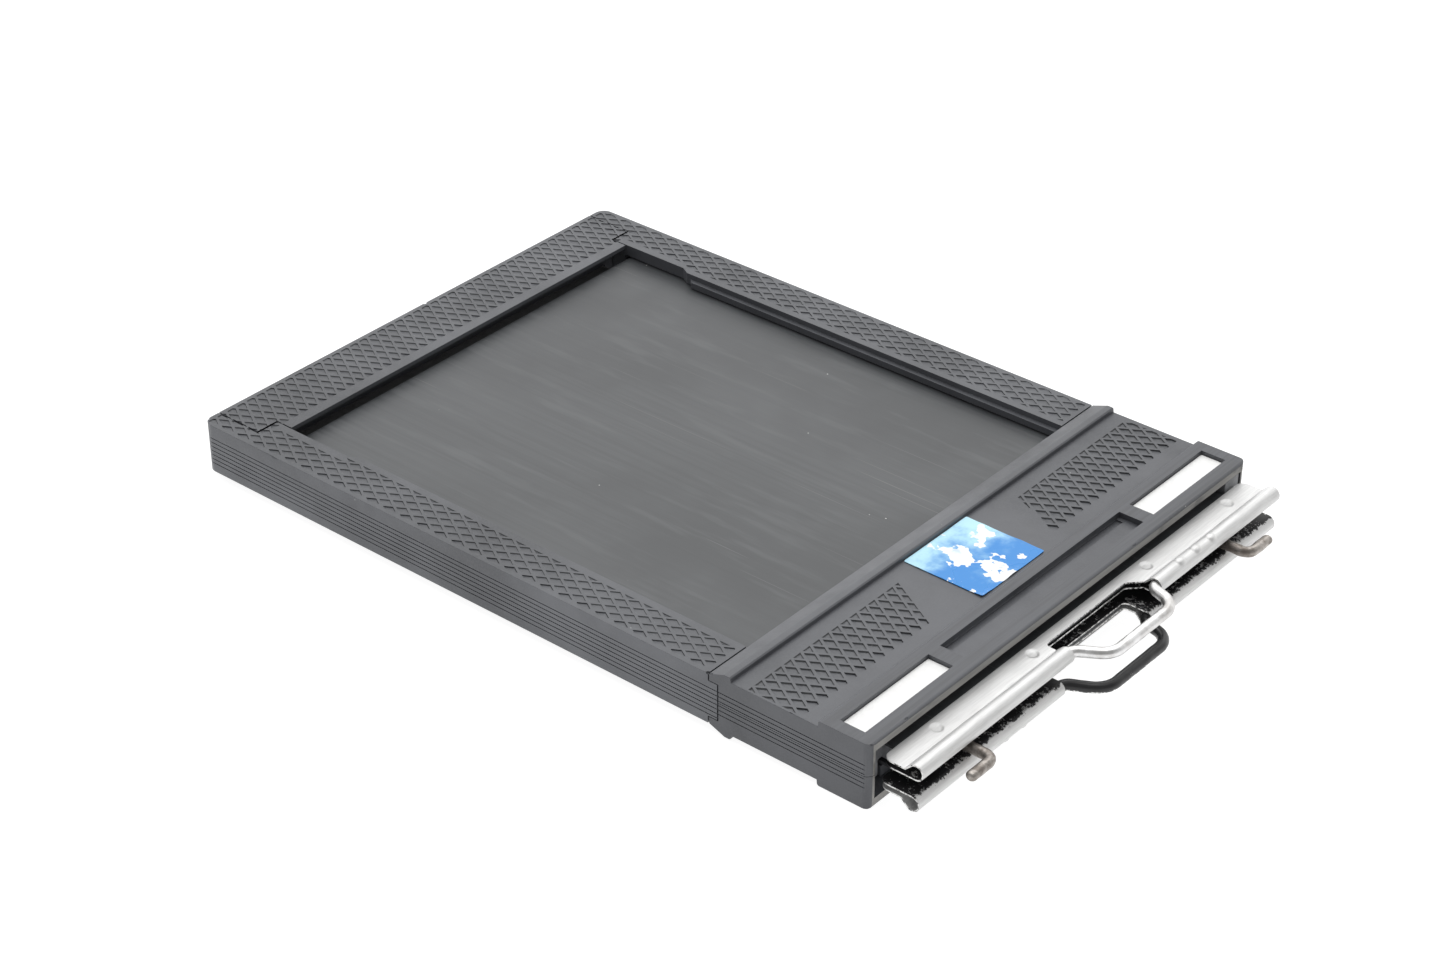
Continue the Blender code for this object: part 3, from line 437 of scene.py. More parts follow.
def brushed_top(name, base):
    """Top of the end bar: resin rubbed in fine lines across the holder."""
    s = Surface(name, 0.4)
    lines = s.noise(1.0, 4.0, 0.65, stretch=(1500.0, 30.0, 300.0))
    blotch = s.noise(38.0, 4.0, 0.55)
    tone = s.mix(s.ramp(lines), shade(base, 0.78), shade(base, 1.35))
    tone = s.mix(s.ramp(blotch, 0.4, 0.7, 0.0, 0.3), tone, shade(base, 1.5))
    s.colour(s.dusty(tone))
    s.rough(s.ramp(lines, 0.25, 0.75, 0.36, 0.5))
    s.bump(lines, 0.00002)
    return s.mat


def dull_steel(name):
    """Dull brown-grey wire with a rough oxide skin."""
    s = Surface(name, 0.5, 0.8)
    patch = s.noise(500.0, 5.0, 0.65)
    tone = s.mix(s.ramp(patch, 0.35, 0.68), (0.20, 0.175, 0.155), (0.45, 0.42, 0.39))
    tone = s.mix(s.ramp(s.noise(180.0, 3.0), 0.5, 0.7, 0.0, 0.7), tone, (0.12, 0.10, 0.09))
    s.colour(tone)
    s.rough(s.ramp(patch, 0.3, 0.7, 0.5, 0.34))
    s.bump(patch, 0.00006)
    return s.mat


def black_plate(name):
    """Thin blackened metal of the septum and the film guides."""
    s = Surface(name, 0.5, 0.3)
    lines = s.noise(1.0, 3.0, 0.6, stretch=(20.0, 700.0, 200.0))
    tone = s.mix(s.ramp(lines), (0.016, 0.016, 0.017), (0.036, 0.036, 0.038))
    rub = s.ramp(s.noise(45.0, 4.0), 0.55, 0.75, 0.0, 0.3)
    s.colour(s.mix(rub, tone, (0.09, 0.09, 0.09)))
    s.rough(s.ramp(lines, 0.3, 0.7, 0.42, 0.58))
    s.bump(lines, 0.00001)
    return s.mat


def woven_black(name, pitch):
    """Black book cloth or plush: crossed threads and a soft sheen."""
    s = Surface(name, 0.95)
    waves = []
    for axis in ("X", "Y"):
        run = s.times(s.axis(axis), math.tau / pitch)
        waves.append(s.math("SINE", run))
    weave = s.plus(s.times(waves[0], waves[1]), s.noise(900.0, 3.0))
    s.colour(s.mix(s.ramp(weave, -0.4, 1.4), (0.006, 0.006, 0.007), (0.03, 0.03, 0.032)))
    s.shader.inputs["Sheen Weight"].default_value = 0.35
    s.bump(weave, 0.00003)
    return s.mat


def spring_bronze(name):
    """Rolled spring strip, slightly tarnished."""
    s = Surface(name, 0.35, 1.0)
    lines = s.noise(1.0, 3.0, 0.6, stretch=(900.0, 20.0, 400.0))
    tone = s.mix(s.ramp(lines), (0.50, 0.37, 0.20), (0.62, 0.48, 0.28))
    s.colour(s.mix(s.ramp(s.noise(90.0, 4.0), 0.5, 0.75, 0.0, 0.6), tone, (0.28, 0.18, 0.1)))
    s.rough(s.ramp(s.noise(200.0), 0.3, 0.7, 0.3, 0.5))
    s.bump(lines, 0.00001)
    return s.mat


def writing_white(name):
    """Matt white writing surface with faint pencil smears."""
    s = Surface(name, 0.55)
    smear = s.ramp(s.noise(120.0, 4.0, 0.6, stretch=(1.0, 0.5, 1.0)), 0.6, 0.78, 0.0, 0.25)
    tone = s.mix(s.ramp(s.noise(900.0, 2.0), 0.3, 0.7), (0.90, 0.90, 0.89), (0.94, 0.94, 0.93))
    s.colour(s.mix(smear, tone, (0.80, 0.80, 0.78)))
    s.rough(s.ramp(s.noise(500.0), 0.3, 0.7, 0.5, 0.62))
    s.bump(s.noise(1800.0, 3.0), 0.000012)
    return s.mat


# ---- mesh helpers ----
def new_object(name, mesh):
    """An object for a mesh, linked to the scene."""
    ob = bpy.data.objects.new(name, mesh)
    bpy.context.scene.collection.objects.link(ob)
    return ob


def mesh_from(bm, name):
    """Finish a bmesh as a mesh with outward faces."""
    bmesh.ops.recalc_face_normals(bm, faces=bm.faces)
    mesh = bpy.data.meshes.new(name)
    bm.to_mesh(mesh)
    bm.free()
    return mesh


def dress(ob, mats):
    """Give a piece its materials, with every face in the first."""
    ob.data.materials.clear()
    for mat in mats:
        ob.data.materials.append(mat)
    for poly in ob.data.polygons:
        poly.material_index = 0


def stand_in(ob, node, body):
    """Let a piece stand for a CAD node and on its body."""
    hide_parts(node)
    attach(ob, body)


def skin(bm, loops):
    """Join closed loops of vertices one after the other and close both ends."""
    n = len(loops[0])
    for low, high in zip(loops, loops[1:]):
        for i in range(n):
            j = (i + 1) % n
            bm.faces.new((low[i], low[j], high[j], high[i]))
    bm.faces.new(loops[0])
    bm.faces.new(loops[-1])


def shell_faces(bm, grid, nx, ny):
    """Skin a grid of (lower, upper) vertex pairs: both faces and the rim."""
    for i in range(nx):
        for j in range(ny):
            quad = [grid[i, j], grid[i + 1, j], grid[i + 1, j + 1], grid[i, j + 1]]
            bm.faces.new([q[1] for q in quad])
            bm.faces.new([q[0] for q in reversed(quad)])
    rim = [(i, 0) for i in range(nx)] + [(nx, j) for j in range(ny)]
    rim += [(i, ny) for i in range(nx, 0, -1)] + [(0, j) for j in range(ny, 0, -1)]
    for a, b in zip(rim, rim[1:] + rim[:1]):
        bm.faces.new((grid[a][0], grid[b][0], grid[b][1], grid[a][1]))


def applied(ob):
    """Bake an object's modifiers into its mesh."""
    graph = bpy.context.evaluated_depsgraph_get()
    mesh = bpy.data.meshes.new_from_object(ob.evaluated_get(graph))
    old = ob.data
    ob.modifiers.clear()
    ob.data = mesh
    bpy.data.meshes.remove(old)
    mesh.name = ob.name


def cut(ob, cutter_mesh):
    """Boolean difference, applied at once."""
    cutter = new_object("cutter", cutter_mesh)
    mod = ob.modifiers.new("cut", "BOOLEAN")
    mod.operation = "DIFFERENCE"
    mod.solver = "EXACT"
    mod.object = cutter
    applied(ob)
    bpy.data.objects.remove(cutter, do_unlink=True)
    bpy.data.meshes.remove(cutter_mesh)


def smooth(ob, angle=38.0):
    """Smooth shading, flat faces kept flat by weighting the normals by area."""
    ob.data.shade_smooth()
    ob.data.set_sharp_from_angle(angle=math.radians(angle))
    mod = ob.modifiers.new("even_normals", "WEIGHTED_NORMAL")
    mod.keep_sharp = True


def clean_copy(node, name):
    """Copy a CAD node's mesh with its flat faces joined up again."""
    bm = bmesh.new()
    bm.from_mesh(NODES[node].data)
    bmesh.ops.remove_doubles(bm, verts=bm.verts, dist=1e-7)
    bmesh.ops.dissolve_limit(
        bm, angle_limit=math.radians(0.4), verts=bm.verts, edges=bm.edges, delimit={"NORMAL"}
    )
    mesh = mesh_from(bm, name)
    mesh.materials.clear()
    return mesh


def rounded(ob, width, weigh=None, segments=2):
    """Round the sharp edges; weigh(edge_mid) scales the rounding down from full width."""
    mesh = ob.data
    bm = bmesh.new()
    bm.from_mesh(mesh)
    layer = bm.edges.layers.float.get("bevel_weight_edge")
    if layer is None:
        layer = bm.edges.layers.float.new("bevel_weight_edge")
    for edge in bm.edges:
        sharp = len(edge.link_faces) == 2 and edge.calc_face_angle(0.0) > math.radians(25)
        mid = (edge.verts[0].co + edge.verts[1].co) / 2
        edge[layer] = 0.0 if not sharp else (weigh(mid) if weigh else 1.0)
    bm.to_mesh(mesh)
    bm.free()
    mod = ob.modifiers.new("round", "BEVEL")
    mod.width = width
    mod.segments = segments
    mod.limit_method = "WEIGHT"
    mod.use_clamp_overlap = True
    mod.material = 1
    applied(ob)


# ---- diamond pattern ----
CELL_X = 4.583          # lattice period along x, millimetres
CELL_Y = 2.646
RIDGE_HALF = 0.285
POCKET_DEEP = 0.22
PANEL_DEEP = 0.32
LATTICE_X = 106.85      # one pocket's centre
LATTICE_Y = 1.377 - 60.325
LATTICE_COLUMNS = range(-24, 8)
LATTICE_ROWS = range(92)
POCKET_LEAST = 0.22     # smallest pocket that is cut, square millimetres
POCKET_RIM = 0.035      # width and height of the softened rim
POCKET_DRAFT = 0.05     # how much narrower a pocket's floor is
PATTERN_START = 0.95
PATTERN_END = 132.4
PATTERN_RIM = 0.86      # plain rim beside the outer edge
FLAP_PATTERN_END = 13.0
JOG_X = 33.3            # where the rails' inner edge steps
JOG_INNER = 7.7         # pattern's inner border, from the outer edge, before and after it
RAIL_INNER = 9.05


def clipped(poly, nx, ny, d):
    """Part of a convex polygon with nx x + ny y <= d."""
    out = []
    for i, a in enumerate(poly):
        b = poly[(i + 1) % len(poly)]
        da = nx * a[0] + ny * a[1] - d
        db = nx * b[0] + ny * b[1] - d
        if da <= 0:
            out.append(a)
        if (da < 0 < db) or (db < 0 < da):
            t = da / (da - db)
            out.append((a[0] + (b[0] - a[0]) * t, a[1] + (b[1] - a[1]) * t))
    return out


def pocket_rings(cx, cy, zone, cell_y):
    """Outlines of one pocket at several offsets, or None if the zone leaves too little."""
    ax = CELL_X / 2
    ay = cell_y / 2
    run = math.hypot(ax, ay)
    reach = ax * ay / run - RIDGE_HALF
    planes = []
    for sx in (-1, 1):
        for sy in (-1, 1):
            nx, ny = sx * ay / run, sy * ax / run
            planes.append((nx, ny, nx * cx + ny * cy + reach))
    planes += zone
    poly = [(cx - 9, cy - 9), (cx + 9, cy - 9), (cx + 9, cy + 9), (cx - 9, cy + 9)]
    for plane in planes:
        poly = clipped(poly, *plane)
        if len(poly) < 3:
            return None
    area = sum(a[0] * b[1] - b[0] * a[1] for a, b in zip(poly, poly[1:] + poly[:1])) / 2
    if area < POCKET_LEAST:
        return None
    used = []
    for i, a in enumerate(poly):
        b = poly[(i + 1) % len(poly)]
        if math.hypot(b[0] - a[0], b[1] - a[1]) < 0.1:
            continue
        mx, my = (a[0] + b[0]) / 2, (a[1] + b[1]) / 2
        used.append(min(planes, key=lambda p: abs(p[0] * mx + p[1] * my - p[2])))
    if len(used) < 3:
        return None
    rings = []
    for grow in (-POCKET_DRAFT, 0.0, POCKET_RIM, POCKET_RIM):
        ring = []
        for p, q in zip(used, used[1:] + used[:1]):
            det = p[0] * q[1] - p[1] * q[0]
            if abs(det) < 1e-6:
                return None
            dp, dq = p[2] + grow, q[2] + grow
            ring.append(((dp * q[1] - dq * p[1]) / det, (p[0] * dq - q[0] * dp) / det))
        rings.append(ring)
    return rings


def add_pocket(bm, rings, top, side, deep=POCKET_DEEP):
    """One pocket cutter: floor, steep walls, softened rim and a part above the face."""
    heights = (top - deep, top - POCKET_RIM, top, top + 0.6)
    loops = []
    for ring, z in zip(rings, heights):
        loops.append([bm.verts.new(at(x, y, side * z)) for x, y in ring])
    skin(bm, loops)


def box_zone(x0, x1, y0, y1):
    """Half planes of a rectangle."""
    return [(-1, 0, -x0), (1, 0, x1), (0, -1, -y0), (0, 1, y1)]


def frame_zone(x, y):
    """Pattern border on rails and flap for a pocket centred at x, y; y in near-edge terms."""
    side = HALF_MM - abs(y)                  # distance from the holder's edge
    if x > PATTERN_END + 0.5 or side < 0.2:
        return None
    inner = JOG_INNER if x < JOG_X else RAIL_INNER
    lim, rim = HALF_MM - inner, HALF_MM - PATTERN_RIM
    if side < inner + 1.0 and (x > FLAP_PATTERN_END + 0.4 or side < inner):
        y_in = (-rim, -lim) if y < 0 else (lim, rim)
        return box_zone(PATTERN_START, PATTERN_END, *y_in)
    if x < FLAP_PATTERN_END + 1.5:
        return box_zone(PATTERN_START, FLAP_PATTERN_END, -rim, rim)
    return None


def frame_pockets(side, x_range, y_range):
    """All pocket cutters over rails and flap within a span."""
    bm = bmesh.new()
    for i in LATTICE_COLUMNS:
        for row in LATTICE_ROWS:
            x = LATTICE_X + CELL_X * (i + 0.5 * (row % 2))
            y = LATTICE_Y + CELL_Y / 2 * row
            if not (x_range[0] < x < x_range[1] and y_range[0] < y < y_range[1]):
                continue
            zone = frame_zone(x, y)
            rings = zone and pocket_rings(x, y, zone, CELL_Y)
            if rings:
                add_pocket(bm, rings, RAIL_TOP, side)
    return mesh_from(bm, "pockets")


PANEL_X0, PANEL_X1 = 142.3, 154.5
PANEL_CELL_Y = 2.72
PANEL_ROWS = range(-46, 47)


def panel_zone(near):
    """Pattern border on the block's panel: a slanted inner end."""
    if near:
        y_edge, a, b = -HALF_MM + 0.54, (142.3, 44.1 - HALF_MM), (154.4, 37.4 - HALF_MM)
        sign = 1
    else:
        y_edge, a, b = HALF_MM - 1.15, (142.5, 82.2 - HALF_MM), (154.4, 76.75 - HALF_MM)
        sign = -1
    run = math.hypot(b[0] - a[0], b[1] - a[1])
    nx, ny = sign * -(b[1] - a[1]) / run, sign * (b[0] - a[0]) / run
    planes = [(-1, 0, -PANEL_X0), (1, 0, PANEL_X1), (nx, ny, nx * a[0] + ny * a[1])]
    planes.append((0, -sign, -sign * y_edge))
    return planes


def panel_pockets(side):
    """Pocket cutters on both patterned parts of the block's panel."""
    bm = bmesh.new()
    for near in (True, False):
        zone = panel_zone(near)
        for i in range(-1, 5):
            for row in PANEL_ROWS:
                x = PANEL_X0 + CELL_X * (i + 0.5 * (row % 2))
                y = PANEL_CELL_Y / 2 * row
                if (y < 0) != near:
                    continue
                rings = pocket_rings(x, y, zone, PANEL_CELL_Y)
                if rings:
                    add_pocket(bm, rings, PANEL_TOP, side, PANEL_DEEP)
    return mesh_from(bm, "panel_pockets")


# ---- moulded body ----
# chips worn out of the edges: place and half widths, millimetres
BLOCK_CHIPS = (
    (134.0, -60.2, 5.75, (0.5, 0.35, 0.4)),
    (152.5, -60.35, 5.9, (0.6, 0.2, 0.22)), (169.7, -59.8, 6.9, (0.35, 0.5, 0.3)),
    (169.7, -50.0, 6.95, (0.3, 0.7, 0.25)), (169.7, 21.0, 6.95, (0.25, 0.8, 0.22)),
)
RAIL_CHIPS = (
    (133.2, -60.1, 5.5, (0.45, 0.4, 0.35)), (21.0, -60.4, 5.4, (0.8, 0.2, 0.3)),
    (0.2, -59.0, 5.4, (0.3, 0.4, 0.25)),
)
FLAP_CHIPS = ((0.0, 3.2, 5.5, (0.35, 0.5, 0.35)), (0.0, -31.0, 5.55, (0.2, 0.7, 0.22)))
SEAM_HALF = 0.15                  # half of the gap between the block's halves in the frame
GLUE_LINE = 0.04                  # half of the joint that shows between them
OUTER_ROUND = 0.55                # rounding of the holder's outer long edges, millimetres
EDGE_SHARE = 0.36                 # share of that on inner edges
GROOVE_SHARE = 0.08               # and on the finger grooves
GROOVE_REACH = 3.75               # height either side of the mid-plane that the grooves take
FLAP_WALL_HALF = 55.5             # half width over which the flap's pocket walls get the darker painted shade
SIDE_DEEP = 1.2                   # how far in from the outer edge the paler, painted-light flats reach
# places of the materials of a moulding; the rounding uses the second
# the pattern's pocket walls take a near-black material: painted shade in the recesses
POCKET_WALL = 2
SIDE_PAINTED_LIGHT = 3                   # rails and flap: outer flats painted paler, painted light from the pale floor
END_WALL = 3                      # block
BAR_TOP = 4


def edge_weight(mid):
    """Full rounding on the outer edges, little on inner ones, least on the finger grooves."""
    side = HALF_W - abs(mid.y)
    if side < 0.4 * MM and abs(mid.z - MID_Z) < GROOVE_REACH * MM:
        return GROOVE_SHARE
    outer = side < 0.02 * MM or mid.x - ORIGIN_X < 0.02 * MM
    tall = abs(mid.z - MID_Z) > (RAIL_TOP - 0.1) * MM
    return 1.0 if outer and tall else EDGE_SHARE


def pocket_walls(top):
    """Test for the steep faces inside the pattern's pockets."""
    def test(c, n):
        high = abs(mm_z(c.z))
        inside = top - PANEL_DEEP - 0.01 < high < top - 0.02
        away = HALF_W - abs(c.y) > 0.5 * MM and c.x - ORIGIN_X > 0.6 * MM
        return inside and away and abs(n.z) < 0.8
    return test


def finish_moulding(ob, node, body, mats, wall_test):
    """Materials by face, kept from the rounding, and pocket walls darkened with painted shade."""
    while len(ob.data.materials) < len(mats):
        ob.data.materials.append(None)
    for i, mat in enumerate(mats):
        ob.data.materials[i] = mat
    mark_faces(ob, wall_test, POCKET_WALL)
    smooth(ob)
    stand_in(ob, node, body)


def outer_side(c, n):
    """Flats of the outer edge, painted paler: painted light where the pale floor lights them."""
    along = abs(n.y) > 0.9 and abs(c.y) > (HALF_MM - SIDE_DEEP) * MM
    return along or (n.x < -0.9 and c.x < at(SIDE_DEEP, 0, 0).x)


def build_rail(side, sign, mats):
    """Side rail with its pattern on both faces and the near one's chips."""
    name = f"{side}_rail_moulding"
    ob = new_object(name, clean_copy(f"{side}_side_rail", name))
    rounded(ob, OUTER_ROUND * MM, edge_weight, 3)
    span = (-70, -40) if sign < 0 else (40, 70)
    for face in (1, -1):
        cut(ob, frame_pockets(face, (0, 140), span))
    if sign < 0:
        for i, (x, y, z, size) in enumerate(RAIL_CHIPS):
            cut(ob, chip_mesh(x, y, z, size, 3.1 + i * 5.7))
    finish_moulding(ob, f"{side}_side_rail", "frame", mats, pocket_walls(RAIL_TOP))
    mark_faces(ob, outer_side, SIDE_PAINTED_LIGHT)


def build_flap(mats):
    """Loading flap with its pattern on both faces and its chips."""
    ob = new_object("flap_moulding", clean_copy("loading_flap", "flap_moulding"))
    rounded(ob, OUTER_ROUND * MM, edge_weight, 3)
    for face in (1, -1):
        cut(ob, frame_pockets(face, (0, 20), (-58.5, 58.5)))
    for i, (x, y, z, size) in enumerate(FLAP_CHIPS):
        cut(ob, chip_mesh(x, y, z, size, 1.7 + i * 4.9))

    def wall(c, n):
        on_flap = mm_x(c.x) < FLAP_PATTERN_END + 0.3 and abs(c.y) < FLAP_WALL_HALF * MM
        return on_flap and pocket_walls(RAIL_TOP)(c, n)

    finish_moulding(ob, "loading_flap", "flap", mats, wall)
    mark_faces(ob, outer_side, SIDE_PAINTED_LIGHT)


def close_seam(ob, sign):
    """Bring the two halves of the block nearly together, as they are glued."""
    for vert in ob.data.vertices:
        if abs(abs(vert.co.z - MID_Z) - SEAM_HALF * MM) < 0.02 * MM:
            vert.co.z = MID_Z + sign * GLUE_LINE * MM


def chip_mesh(x, y, z, size, seed):
    """Ragged lump that bites a chip out of an edge; size is its three half widths."""
    bm = bmesh.new()
    bmesh.ops.create_icosphere(bm, subdivisions=3, radius=1.0)
    for vert in bm.verts:
        d = vert.co.normalized()
        r = 1 + 0.45 * noise.noise(d * 1.9 + Vector((seed, 0, 0)))
        vert.co = at(x, y, z) + Vector([d[i] * size[i] * r * MM for i in range(3)])
    return mesh_from(bm, "chip")


def build_block(side, sign, mats):
    """Half of the handle-end block with its patterned panels and the upper one's chips."""
    name = f"block_{side}_moulding"
    ob = new_object(name, clean_copy(f"block_{side}_shell", name))
    close_seam(ob, sign)
    rounded(ob, OUTER_ROUND * MM, edge_weight, 3)
    cut(ob, panel_pockets(sign))
    if sign > 0:
        for i, (x, y, z, size) in enumerate(BLOCK_CHIPS):
            cut(ob, chip_mesh(x, y, z, size, i * 7.3))

    def wall(c, n):
        x = mm_x(c.x)
        return pocket_walls(PANEL_TOP)(c, n) and PANEL_X0 - 0.1 < x < PANEL_X1 + 0.1

    finish_moulding(ob, f"block_{side}_shell", "frame", mats, wall)
    end_x = ORIGIN_X + BLOCK_END * MM
    mark_faces(ob, lambda c, n: n.x > 0.9 and c.x > end_x - 0.05 * MM, END_WALL)
    bar = MID_Z + sign * END_TOP * MM
    mark_faces(ob, lambda c, n: abs(n.z) > 0.95 and abs(c.z - bar) < 0.02 * MM, BAR_TOP)


def plain_copy(node, name, body, mat, width):
    """Copy a CAD node with softened edges and its own finish."""
    ob = new_object(name, clean_copy(node, name))
    rounded(ob, width)
    dress(ob, (mat,))
    smooth(ob)
    stand_in(ob, node, body)


# ---- folded handles ----
SHEET = 0.3                       # handle sheet thickness, millimetres
SHEET_GAP = 0.1
HANDLE_LOW, HANDLE_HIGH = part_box("upper_handle")
HANDLE_X0 = mm_x(HANDLE_LOW.x)
ROLL_R = (HANDLE_HIGH.z - HANDLE_LOW.z) / 2 / MM
ROLL_Z = mm_z(HANDLE_LOW.z) + ROLL_R
ROLL_X = mm_x(HANDLE_HIGH.x) - ROLL_R
CREASE_X = ROLL_X - 2.4
TOP_IN = mm_z(BLADE_HIGH.z) + SHEET_GAP
TOP_OUT = TOP_IN + SHEET
LOW_OUT = ROLL_Z - ROLL_R
LOW_IN = LOW_OUT + SHEET
WINDOW_X0 = mm_x(BLADE_HIGH.x) + 0.3     # inner edge of the loop's window
WINDOW_ROUND = 1.2
WINDOW_CHAMFER = 2.4              # the upper window's far corner is cut off
HANDLE_CORNER = 2.0
DIMPLE_X = 172.2
DIMPLE_R = 1.25
DIMPLE_DEEP = 0.27
BUMP_R = 1.2
BUMP_HIGH = 0.40
BUMP_ANGLE = 84.0
CREASE_DEEP = 0.13
# side: (sign, places of the dimples along y, places of the raised dots along y)
HANDLE_MARKS = {
    "upper": (1, (-44.2, -15.3, 21.8, 50.2), (25.2, 30.6, 35.8)),
    "lower": (-1, (-45.0, -16.0, 19.5, 48.6), (-36.2, -30.9, -25.6)),
}


def span(a, b, step):
    """Evenly spaced values from a to b, both ends included."""
    count = max(1, round(abs(b - a) / step))
    return [a + (b - a) * i / count for i in range(count + 1)]


def arc(cx, cy, r, start, end, steps):
    """Points along an arc, degrees from +x, both ends included."""
    turn = [math.radians(start + (end - start) * i / steps) for i in range(steps + 1)]
    return [(cx + r * math.cos(a), cy + r * math.sin(a)) for a in turn]


def handle_ring():
    """Section (x, z, outer) of the folded sheet: two flanges and the roll."""
    run, rise = ROLL_X - CREASE_X, TOP_OUT - ROLL_Z
    meet = 180 - math.degrees(math.atan2(rise, run))
    meet -= math.degrees(math.acos(ROLL_R / math.hypot(run, rise)))
    crease_in = CREASE_X + SHEET * math.tan(math.radians(meet - 90) / 2)
    soft = 0.07
    outer = [(x, LOW_OUT) for x in span(HANDLE_X0 + soft, ROLL_X, 0.6)]
    outer += arc(ROLL_X, ROLL_Z, ROLL_R, -90, meet, 26)[1:]
    foot = outer[-1]
    outer += [(foot[0] + (CREASE_X - foot[0]) * t, foot[1] + (TOP_OUT - foot[1]) * t)
              for t in (0.2, 0.4, 0.6, 0.75, 0.87, 0.94)]
    outer += [(x, TOP_OUT) for x in span(CREASE_X, HANDLE_X0 + soft, 0.22)]
    edge = [(HANDLE_X0, TOP_OUT - soft), (HANDLE_X0, TOP_IN + soft)]
    inner = [(x, TOP_IN) for x in span(HANDLE_X0 + soft, crease_in, 0.8)]
    inner += arc(ROLL_X, ROLL_Z, ROLL_R - SHEET, meet, -90, 20)
    inner += [(x, LOW_IN) for x in span(ROLL_X, HANDLE_X0 + soft, 0.8)[1:]]
    last = [(HANDLE_X0, LOW_IN - soft), (HANDLE_X0, LOW_OUT + soft)]
    return ([(x, z, True) for x, z in outer] + [(x, z, False) for x, z in edge + inner + last])


def handle_stations(y0, y1, dimples, bumps):
    """Places along the handle where its section is set out, close round each mark."""
    places = span(y0, y1, 1.5)
    for y in dimples + bumps:
        places = [p for p in places if abs(p - y) > 1.7] + span(y - 1.6, y + 1.6, 0.2)
    return sorted(places)


def pressed(x, z, y, dimples, bumps, runs):
    """Where a point of the outer skin ends up after dimples, bumps and crease are pressed."""
    if z > ROLL_Z - 0.2 and x < CREASE_X + 0.9:
        for mark in dimples:
            r = math.hypot(x - DIMPLE_X, y - mark) / DIMPLE_R
            if r < 1:
                z -= DIMPLE_DEEP * (1 - r ** 5)
        if any(lo < y < hi for lo, hi in runs):
            z -= CREASE_DEEP * math.exp(-((x - CREASE_X - 0.05) / 0.2) ** 2)
    dx, dz = x - ROLL_X, z - ROLL_Z
    reach = math.hypot(dx, dz)
    turn = math.degrees(math.atan2(dz, dx)) - BUMP_ANGLE
    for mark in bumps:
        r = math.hypot(math.radians(turn) * reach, y - mark) / BUMP_R
        if r < 1 and reach < ROLL_R * 1.4:
            lift = BUMP_HIGH * (1 - r ** 3)
            x += dx / reach * lift
            z += dz / reach * lift
    return x, z


def prism(outline, low, high, side):
    """Upright prism over a plan outline, as a cutter."""
    bm = bmesh.new()
    skin(bm, [[bm.verts.new(at(x, y, side * z)) for x, y in outline] for z in (low, high)])
    return mesh_from(bm, "prism")


def corner_cutters(y0, y1, side):
    """Rounds the two inner corners of a handle."""
    r = HANDLE_CORNER
    out = 1.0
    for y, sign in ((y0, -1), (y1, 1)):
        cx, cy = HANDLE_X0 + r, y - sign * r
        curve = arc(cx, cy, r, 180, 180 - sign * 90, 8)
        plan = curve + [(cx, y + sign * out), (HANDLE_X0 - out, y + sign * out), (HANDLE_X0 - out, cy)]
        yield prism(plan, 0.2, 6.0, side)


def window_cutter(lo, hi, side, chamfer):
    """Opening for the wire loop: one small-radius corner and one corner cut off."""
    r = WINDOW_ROUND
    x1 = ROLL_X + ROLL_R + 1.0
    near = arc(WINDOW_X0 + r, lo + r, r, 180, 270, 5)
    if chamfer:
        far = [(WINDOW_X0 + chamfer, hi), (WINDOW_X0 + 0.25, hi - chamfer + 0.1),
               (WINDOW_X0, hi - chamfer - 0.4)]
    else:
        far = arc(WINDOW_X0 + r, hi - r, r, 90, 180, 5)
    return prism(near + [(x1, lo), (x1, hi)] + far, 0.2, 6.0, side)


def mark_faces(ob, test, index):
    """Give the faces that pass a test another material."""
    for poly in ob.data.polygons:
        if test(poly.center, poly.normal):
            poly.material_index = index


def build_handle(side, mats):
    """Folded sheet with its roll, dimples, dots, crease, window and cut edges."""
    sign, dimples, bumps = HANDLE_MARKS[side]
    low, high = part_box(f"{side}_handle")
    y0, y1 = low.y / MM, high.y / MM
    w_low, w_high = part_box(f"{side}_wire_loop")
    loop_mid = (w_low.y + w_high.y) / 2 / MM
    lo, hi = loop_mid - LOOP_HALF, loop_mid + LOOP_HALF
    runs = ((w_low.y / MM, lo + 0.3), (hi - 0.3, w_high.y / MM))
    ring = handle_ring()
    bm = bmesh.new()
    rows = []
    for y in handle_stations(y0, y1, dimples, bumps):
        row = []
        for x, z, outer in ring:
            if outer:
                x, z = pressed(x, z, y, dimples, bumps, runs)
            row.append(bm.verts.new(at(x, y, sign * z)))
        rows.append(row)
    skin(bm, rows)
    ob = new_object(f"{side}_folded_handle", mesh_from(bm, f"{side}_folded_handle"))
    for cutter in corner_cutters(y0, y1, sign):
        cut(ob, cutter)
    cut(ob, window_cutter(lo, hi, sign, WINDOW_CHAMFER if sign > 0 else 0.0))
    dress(ob, mats)
    x_cut = ORIGIN_X + WINDOW_X0 * MM

    def on_cut(c, n):
        in_window = (lo - 0.02) * MM < c.y < (hi + 0.02) * MM and c.x > x_cut - 0.02 * MM
        at_end = c.y < low.y + 0.02 * MM or c.y > high.y - 0.02 * MM
        return (in_window or at_end) and abs(n.z) < 0.3

    mark_faces(ob, on_cut, 1)
    smooth(ob, 32.0)
    stand_in(ob, f"{side}_handle", f"{side}_slide")


